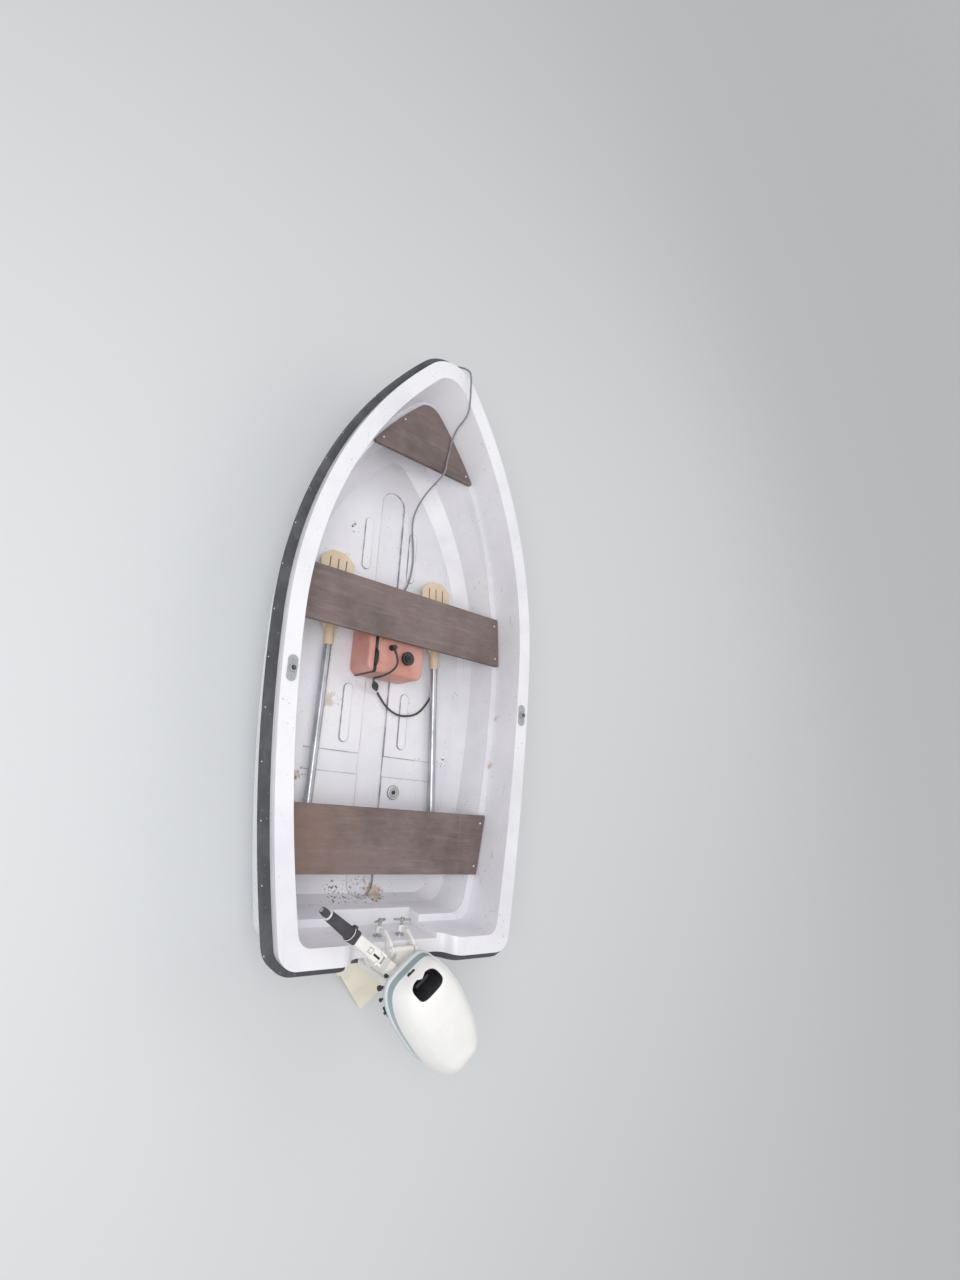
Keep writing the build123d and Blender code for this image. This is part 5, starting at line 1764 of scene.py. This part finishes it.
@dataclass
class TankTrim(Assembly):
    """Strap, moulded ribs and cap ridges of the fuel tank."""

    top: float = 218.0 * MM
    foot: float = 70.0 * MM
    ribs: int = 4
    rib_from: float = 52.0 * MM
    rib_pitch: float = 13.0 * MM
    rib_short: float = 70.0 * MM
    rib_size: tuple[float, float] = (5.0 * MM, 2.4 * MM)
    strap_y: float = 122.0 * MM
    strap_size: tuple[float, float] = (15.0 * MM, 2.4 * MM)
    strap_edge: float = 0.8 * MM
    corner: float = 16.0 * MM
    corner_strap: float = 17.0 * MM
    grip_half: float = 34.0 * MM
    grip_rise: float = 14.0 * MM
    grip_radius: float = 4.2 * MM
    ridges: int = 24
    ridge_size: Point = (2.2 * MM, 2.4 * MM, 15.0 * MM)

    def build(self) -> None:
        """Makes the tank's trim."""
        low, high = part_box("fuel_tank")
        middle = (low + high) / 2
        shape = Shape()
        size = (high.x - low.x - self.rib_short, *self.rib_size)
        for step in range(self.ribs):
            y = high.y - self.rib_from - step * self.rib_pitch
            shape.block(size, at_point(middle.x, y, self.top))
        shape.piece("tank_ribs", self.paint, Slot.TANK_PLASTIC, Body.BOAT)
        self._strap(low, high)
        self._cap()

    def _strap(self, low: Vector, high: Vector) -> None:
        """Strap round the tank near its port end, with a grip loop.

        Args:
            low: Low corner of the tank's box.
            high: High corner of it.
        """
        wide, thick = self.strap_size
        y, edge = self.strap_y, self.strap_edge
        shape = Shape()
        middle = (low.x + high.x) / 2
        size = (high.x - low.x - self.corner, wide, thick)
        shape.block(size, at_point(middle, y, self.top + thick / 2), edge)
        drop = self.top - self.foot - 2 * MM - self.corner
        for x in (low.x - thick / 2, high.x + thick / 2):
            shape.block((thick, wide, drop), at_point(x, y, self.foot + drop / 2), edge)
        for x, turn in ((low.x + 3 * MM, -45), (high.x - 3 * MM, 45)):
            place = at_point(x, y, self.top - 3 * MM) @ Matrix.Rotation(math.radians(turn), 4, "Y")
            shape.block((self.corner_strap, wide, thick), place, edge)
        path = []
        for step in range(17):
            turn = step / 16 * math.pi
            x = low.x + 60 * MM - self.grip_half * math.cos(turn)
            path.append(Vector((x, y, self.top + 3 * MM + self.grip_rise * math.sin(turn))))
        shape.rope(path, self.grip_radius, 12)
        shape.piece("tank_strap", self.paint, Slot.BLACK_PLASTIC, Body.BOAT)

    def _cap(self) -> None:
        """Ridges round the cap and its vent screw."""
        low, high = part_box("tank_cap")
        middle = (low + high) / 2
        radius = (high.x - low.x) / 2
        shape = Shape()
        centre = at_point(middle.x, middle.y, high.z - 10 * MM)
        for step in range(self.ridges):
            turn = Matrix.Rotation(step / self.ridges * math.tau, 4, "Z")
            shape.block(self.ridge_size, centre @ turn @ at_point(radius - 0.4 * MM, 0, 0), 0.6 * MM)
        vent = [(0.0, 0.0), (0.0, 9.5), (3.0, 9.5), (3.5, 6.0), (9.0, 5.6), (10.5, 4.0), (10.5, 0.0)]
        shape.lathe(mm_pairs(vent), upright(middle.x, middle.y, high.z - 0.4 * MM), 28)
        shape.piece("cap_ridges", self.paint, Slot.BLACK_PLASTIC, Body.BOAT)


# Motor


def squared(value: float, power: float) -> float:
    """A sine or cosine brought towards a square by a power below 1."""
    return math.copysign(abs(value) ** power, value)


@dataclass(frozen=True)
class Oblong:
    """Plan of the powerhead: a rounded oblong that is fuller in front than behind."""

    front: float = 102.0 * MM
    rear: float = 334.0 * MM
    beam: float = 129.0 * MM
    squareness: float = 0.4
    taper: float = 0.065
    bow: float = 0.24
    count: int = 112

    def ring(self, inset: float, height: float) -> list[Vector]:
        """Points round the plan, drawn in by inset.

        Args:
            inset: How far the ring is drawn in.
            height: Its height in the motor's frame.

        Returns:
            The points.
        """
        reach = (self.front + self.rear) / 2 - inset
        middle = (self.front - self.rear) / 2
        points = []
        for step in range(self.count):
            turn = (step + 0.5) / self.count * math.tau
            share = squared(math.cos(turn), self.squareness)
            half = (self.beam - inset) * (1 + self.taper * share - self.bow * share * share)
            y = half * squared(math.sin(turn), self.squareness)
            points.append(Vector((middle + reach * share, y, height)))
        return points


@dataclass
class Powerhead(Assembly):
    """Cowl, trim band and pan, shaped as the photographed motor's, with their fittings."""

    plan: Oblong = Oblong()
    pan_low: float = 58.0 * MM
    pan_high: float = 92.0 * MM
    band_high: float = 104.0 * MM
    gap: float = 0.3 * MM
    dome_high: float = 160.0 * MM
    dome_inset: float = 100.0 * MM
    dome_narrowing: float = 1.3
    dome_rising: float = 0.8
    levels: int = 16
    recess_at: tuple[float, float] = (71.0 * MM, -4.0 * MM)
    recess_half: tuple[float, float] = (23.0 * MM, 56.0 * MM)
    recess_floor: float = 172.0 * MM
    recess_open: float = 400.0 * MM
    recess_squareness: float = 0.55
    recess_wall: float = 2.2 * MM
    lobe_dent: float = 8.0 * MM
    lobe_half: float = 7.0 * MM
    lobe_y: float = -6.0 * MM
    pull_size: Point = (17.0 * MM, 66.0 * MM, 15.0 * MM)
    pull_stem: Point = (11.0 * MM, 15.0 * MM, 16.0 * MM)
    choke_z: float = 160.0 * MM
    latch_y: float = 52.0 * MM
    latch_z: float = 118.0 * MM
    latch_body: Point = (9.0 * MM, 30.0 * MM, 30.0 * MM)
    latch_lever: Point = (15.0 * MM, 22.0 * MM, 7.0 * MM)
    outside: float = 0.5

    def build(self) -> None:
        """Makes the powerhead."""
        dome = skinned([self._dome_ring(step / self.levels) for step in range(self.levels + 1)])
        data = bpy.data.meshes.new("dome")
        dome.to_mesh(data)
        seen = bpy.data.objects.new("dome", data)
        self.surface = Surface(seen)
        bpy.data.objects.remove(seen)
        bpy.data.meshes.remove(data)
        self._cowl(dome)
        self._well()
        self._band()
        self._pan()
        self._slot()
        self._latch()
        self._pan_fittings()

    def _dome_ring(self, share: float) -> list[Vector]:
        """Ring of the cowl at a share of the way to its top.

        Args:
            share: From 0 at the cowl's rim to 1 at its top.

        Returns:
            The ring.
        """
        turn = share * math.pi / 2
        inset = self.dome_inset * (1 - math.cos(turn)) ** self.dome_narrowing
        rise = self.dome_high * math.sin(turn) ** self.dome_rising
        return self.plan.ring(inset, self.band_high + self.gap + rise)

    def _recess_ring(self, grow: float, height: float, count: int = 64) -> list[Vector]:
        """Outline of the starter recess, with two lobes towards the front.

        Args:
            grow: How far it stands outside the recess.
            height: Its height in the motor's frame.
            count: Number of its points.

        Returns:
            The points.
        """
        points = []
        for step in range(count):
            turn = step / count * math.tau
            x = squared(math.cos(turn), self.recess_squareness) * (self.recess_half[0] + grow)
            y = squared(math.sin(turn), self.recess_squareness) * (self.recess_half[1] + grow)
            if x > 0:
                x -= self.lobe_dent * math.exp(-(((y - self.lobe_y) / self.lobe_half) ** 2))
            points.append(Vector((self.recess_at[0] + x, self.recess_at[1] + y, height)))
        return points

    def _cowl(self, dome: bmesh.types.BMesh) -> None:
        """Domed cowl with its recess cut out.

        Args:
            dome: The whole dome, which is used up.
        """
        levels = (self.recess_floor, self.recess_open)
        cutter = skinned([self._recess_ring(0.0, level) for level in levels])
        shape = Shape()
        shape.take(carved(dome, cutter), MOTOR_FRAME)
        made = shape.piece("cowl_shell", self.paint, Slot.COWL_PAINT, Body.MOTOR, 40.0)
        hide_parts("cowl")

    def _on_dome(self, point: Vector) -> float:
        """Height of the dome over a point of its plan."""
        found = self.surface.hit(Vector((point.x, point.y, self.outside)), -UP)
        return found[0].z if found else self.band_high

    def _well(self) -> None:
        """Black lining of the recess, with the starter's pull handle in it."""
        gap, wall = self.gap, self.recess_wall
        outer = self._recess_ring(-gap, self.recess_floor + gap)
        rim = [Vector((point.x, point.y, self._on_dome(point) - 2 * gap)) for point in outer]
        inner = self._recess_ring(-gap - wall, 0.0)
        inner_rim = [Vector((point.x, point.y, edge.z)) for point, edge in zip(inner, rim)]
        floor = [Vector((point.x, point.y, self.recess_floor + wall)) for point in inner]
        shape = Shape()
        shape.skin([outer, rim, inner_rim, floor], MOTOR_FRAME)
        x, y = self.recess_at
        grip = self.recess_floor + 22 * MM
        shape.block(self.pull_size, MOTOR_FRAME @ at_point(x, y, grip), 6.5 * MM, 4)
        shape.block(self.pull_stem, MOTOR_FRAME @ at_point(x, y, grip - 11 * MM), 2.5 * MM, 3)
        made = shape.piece("starter_well", self.paint, Slot.BLACK_PLASTIC, Body.MOTOR)
        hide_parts("starter_recess")

    def _band(self) -> None:
        """Trim band between pan and cowl, standing a little proud."""
        low, high = self.pan_high + self.gap, self.band_high
        edge = 1.6 * MM
        rows = ((1.5, low), (-1.4, low + edge), (-2.0, (low + high) / 2), (-1.4, high - edge), (1.5, high))
        shape = Shape()
        shape.skin([self.plan.ring(inset * MM, height) for inset, height in rows], MOTOR_FRAME)
        made = shape.piece("trim_band", self.paint, Slot.TRIM_BLUE, Body.MOTOR, 60.0)
        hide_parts("cowl_band")

    def _pan(self) -> None:
        """Lower pan with a rounded bottom edge and a lip at its top."""
        rows = [
            (44.0, 0.0), (38.0, 0.6), (33.0, 2.6), (29.0, 6.0), (10.0, 21.0), (5.0, 25.0), (2.4, 27.0),
            (1.2, 29.0), (1.2, 32.6), (2.6, 34.0),
        ]
        shape = Shape()
        rings = [self.plan.ring(inset, self.pan_low + height) for inset, height in mm_pairs(rows)]
        shape.skin(rings, MOTOR_FRAME)
        made = shape.piece("pan_shell", self.paint, Slot.CREAM_PAINT, Body.MOTOR, 50.0)
        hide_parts("lower_pan")

    def _slot(self) -> None:
        """Dark choke slot with its knob, on the cowl's front slope."""
        shape = Shape()
        for y, size in ((4.0, (6.0, 32.0, 9.0)), (12.0, (14.0, 9.0, 7.0))):
            found = self.surface.hit(Vector((self.outside, y * MM, self.choke_z)), Vector((-1, 0, 0)))
            if found:
                place = MOTOR_FRAME @ Matrix.Translation(found[0])
                shape.block(tuple(value * MM for value in size), place, 1.9 * MM, 3)
        shape.piece("choke_slot", self.paint, Slot.BLACK_PLASTIC, Body.MOTOR)

    def _latch(self) -> None:
        """Cowl latch at the back, towards port."""
        shape = Shape()
        y, z = self.latch_y, self.latch_z
        found = self.surface.hit(Vector((-self.outside, y, z)), Vector((1, 0, 0)))
        x = found[0].x if found else -self.plan.rear
        body = MOTOR_FRAME @ at_point(x - 1 * MM, y, z - 18 * MM)
        shape.block(self.latch_body, body, 3 * MM, 3)
        lever = MOTOR_FRAME @ at_point(x - 5 * MM, y, z - 2 * MM)
        shape.block(self.latch_lever, lever, 2.5 * MM, 3)
        shape.piece("cowl_latch", self.paint, Slot.MOTOR_PAINT, Body.MOTOR)

    def _pan_fittings(self) -> None:
        """Stop button, fuel inlet, choke knob and latch lever on the pan's port side."""
        stop_button = (86.0, 52.0, 7.0, 21.0)
        fuel_inlet = (70.0, 80.0, 9.5, 27.0)
        choke_knob = (40.0, 100.0, 6.5, 20.0)
        shape = Shape()
        for x, y, head, reach in (stop_button, fuel_inlet, choke_knob):
            way = Vector((1.2 * max(x - 20.0, 0.0), y, 0.0)).normalized()
            neck = 0.55 * head
            knob = [
                (-4.0, 0.0), (-4.0, neck), (0.55 * reach, neck), (0.6 * reach, head), (0.95 * reach, head),
                (reach, 0.8 * head), (reach, 0.0),
            ]
            edge = MOTOR_FRAME @ self._pan_edge(x * MM, y * MM)
            shape.lathe(mm_pairs(knob), along(edge, MOTOR_FRAME.to_3x3() @ way), 28)
        edge = self._pan_edge(-8 * MM, 112 * MM)
        for size, out in (((44.0, 16.0, 9.0), 2.0), ((10.0, 24.0, 8.0), 4.0)):
            place = MOTOR_FRAME @ at_point(edge.x, edge.y + out * MM, edge.z)
            shape.block(tuple(value * MM for value in size), place, 3 * MM, 3)
        shape.piece("pan_fittings", self.paint, Slot.BLACK_PLASTIC, Body.MOTOR)

    def _pan_edge(self, x: float, y: float) -> Vector:
        """Point of the pan's side wall nearest to a place in plan."""
        wall = self.plan.ring(9 * MM, self.pan_low + 23 * MM)
        return min(wall, key=lambda point: (point.x - x) ** 2 + (point.y - y) ** 2)


@dataclass
class PropellerGuard(Assembly):
    """Wide plate over the propeller, as the photographed motor has it."""

    top: float = -328.4 * MM
    thick: float = 7.4 * MM
    edge: float = 1.6 * MM

    def build(self) -> None:
        """Makes the plate round the cast one."""
        half = [(-60, 13), (-38, 60), (-36, 98), (-42, 103), (-62, 103), (-68, 94), (-254, 94), (-264, 84)]
        outline = mm_pairs(half + [(x, -y) for x, y in reversed(half)])
        shape = Shape()
        shape.pad(outline, self.thick, MOTOR_FRAME @ at_point(0, 0, self.top - self.thick), self.edge)
        shape.piece("plate_edge", self.paint, Slot.CREAM_PAINT, Body.MOTOR)


@dataclass
class Tiller(Assembly):
    """Grip, ring and knob of the tiller, and what is moulded into its arm."""

    axis: float = 82.0 * MM
    grip_from: float = 364.3 * MM
    grip_to: float = 472.0 * MM
    knob_to: float = 508.0 * MM
    ridges: int = 16
    ridge_deep: float = 0.55 * MM
    arm_top: float = 20.4 * MM
    slot_at: float = 220.0 * MM
    slot_size: Point = (34.0 * MM, 8.0 * MM, 1.4 * MM)
    square_at: float = 256.0 * MM
    collar_at: float = 358.5 * MM
    sleeve_size: Point = (24.0 * MM, 50.0 * MM, 48.0 * MM)
    bump_size: Point = (13.0 * MM, 18.0 * MM, 20.0 * MM)

    def build(self) -> None:
        """Makes the tiller's pieces."""
        self._grip()
        self._ring()
        self._knob()
        self._inlays()
        self._collar()

    def _place(self, x: float = 0.0, y: float = 0.0, z: float = 0.0) -> Matrix:
        """A place along the tiller, from its own axis."""
        return HELM_FRAME @ at_point(x, y, self.axis + z)

    def _grip(self) -> None:
        """Rubber grip with fine ridges, narrowing to its end."""
        span = self.grip_to - self.grip_from
        profile = [(self.grip_from, 0.0), (self.grip_from, 23.0 * MM)]
        for step in range(self.ridges * 4 + 1):
            share = step / (self.ridges * 4)
            ridge = self.ridge_deep * (0.5 - 0.5 * math.cos(share * self.ridges * math.tau))
            profile.append((self.grip_from + span * (0.06 + 0.88 * share), (22.6 - 3.4 * share) * MM - ridge))
        profile += [(self.grip_to, 18.6 * MM), (self.grip_to, 0.0)]
        shape = Shape()
        shape.lathe(profile, self._place(), 44)
        made = shape.piece("tiller_grip_rubber", self.paint, Slot.GRIP_RUBBER, Body.TILLER)
        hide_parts("tiller_grip")

    def _ring(self) -> None:
        """Pale ring at the grip's end."""
        profile = [(0.0, 0.0), (0.0, 17.6), (1.0, 18.3), (3.4, 18.1), (4.2, 17.2), (4.2, 0.0)]
        shape = Shape()
        shape.lathe(mm_pairs(profile), self._place(self.grip_to + 0.2 * MM), 44)
        made = shape.piece("grip_end_ring", self.paint, Slot.RING_WHITE, Body.TILLER)
        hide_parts("grip_ring")

    def _knob(self) -> None:
        """Stop knob with a neck and a flat worn end."""
        start = self.grip_to + 4.6 * MM
        end = (self.knob_to - start) / MM
        profile = [
            (0.0, 0.0), (0.0, 12.0), (5.0, 11.4), (7.0, 13.6), (20.0, 13.2), (end - 2.0, 11.6),
            (end, 10.0), (end, 0.0),
        ]
        shape = Shape()
        shape.lathe(mm_pairs(profile), self._place(start), 40)
        made = shape.piece("stop_knob", self.paint, Slot.GRIP_RUBBER, Body.TILLER)
        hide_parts("grip_knob")
        cap = Shape()
        worn = [(-0.4, 0.0), (-0.4, 7.4), (0.6, 7.0), (0.6, 0.0)]
        cap.lathe(mm_pairs(worn), self._place(self.knob_to), 28)
        cap.piece("knob_tip", self.paint, Slot.GREY_NYLON, Body.TILLER)

    def _inlays(self) -> None:
        """Square outline and slot near the arm's root."""
        line, edge = 1.2 * MM, 0.4 * MM
        x, z = self.square_at, self.arm_top - 0.2 * MM
        shape = Shape()
        slot = self._place(self.slot_at, 3 * MM, self.arm_top + 0.1 * MM)
        shape.block(self.slot_size, slot, 0.5 * MM, 1)
        for side in (-1, 1):
            shape.block((20 * MM, line, line), self._place(x, side * 9 * MM, z), edge, 1)
            shape.block((line, 19 * MM, line), self._place(x + side * 9.6 * MM, 0, z), edge, 1)
        shape.piece("tiller_inlays", self.paint, Slot.BLACK_PLASTIC, Body.TILLER)

    def _collar(self) -> None:
        """White line round the collar, and its flared sleeve with the moulded bump beside it."""
        shape = Shape()
        line = [(-1.2, 26.0), (-1.0, 27.2), (1.0, 27.1), (1.2, 25.9), (-1.2, 26.0)]
        shape.lathe(mm_pairs(line), self._place(self.collar_at), 48)
        shape.piece("collar_line", self.paint, Slot.RING_WHITE, Body.TILLER)
        shape = Shape()
        shape.block(self.sleeve_size, self._place(self.collar_at - 19.5 * MM), 9 * MM, 4)
        bump = self._place(self.collar_at - 2 * MM, -23 * MM, 6 * MM)
        shape.block(self.bump_size, bump, 4 * MM, 3)
        shape.piece("collar_bump", self.paint, Slot.GRIP_RUBBER, Body.TILLER)


def dress_nodes(frame: dict, paint: Paintbox) -> None:
    """Gives every CAD node the finish of its slot in the record.

    Args:
        paint: The materials.
    """
    for part in frame["record"]["subparts"]:
        paint.dress(frame["nodes"][part["node"]], Slot(part["material_slot"]))


def main() -> None:
    """Builds the scene in order."""
    logging.basicConfig(level=logging.INFO, format="%(message)s")
    for old in list(bpy.data.objects):
        bpy.data.objects.remove(old)
    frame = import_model()
    nodes = frame["nodes"]
    paint = Paintbox()
    Studio().build()
    dress_nodes(frame, paint)
    for part in (FuelLine, Painter, Moulding, Thwarts, OarTrim, TankTrim, Powerhead, PropellerGuard, Tiller):
        part(paint, nodes).build()


if __name__ == "__main__":
    main()
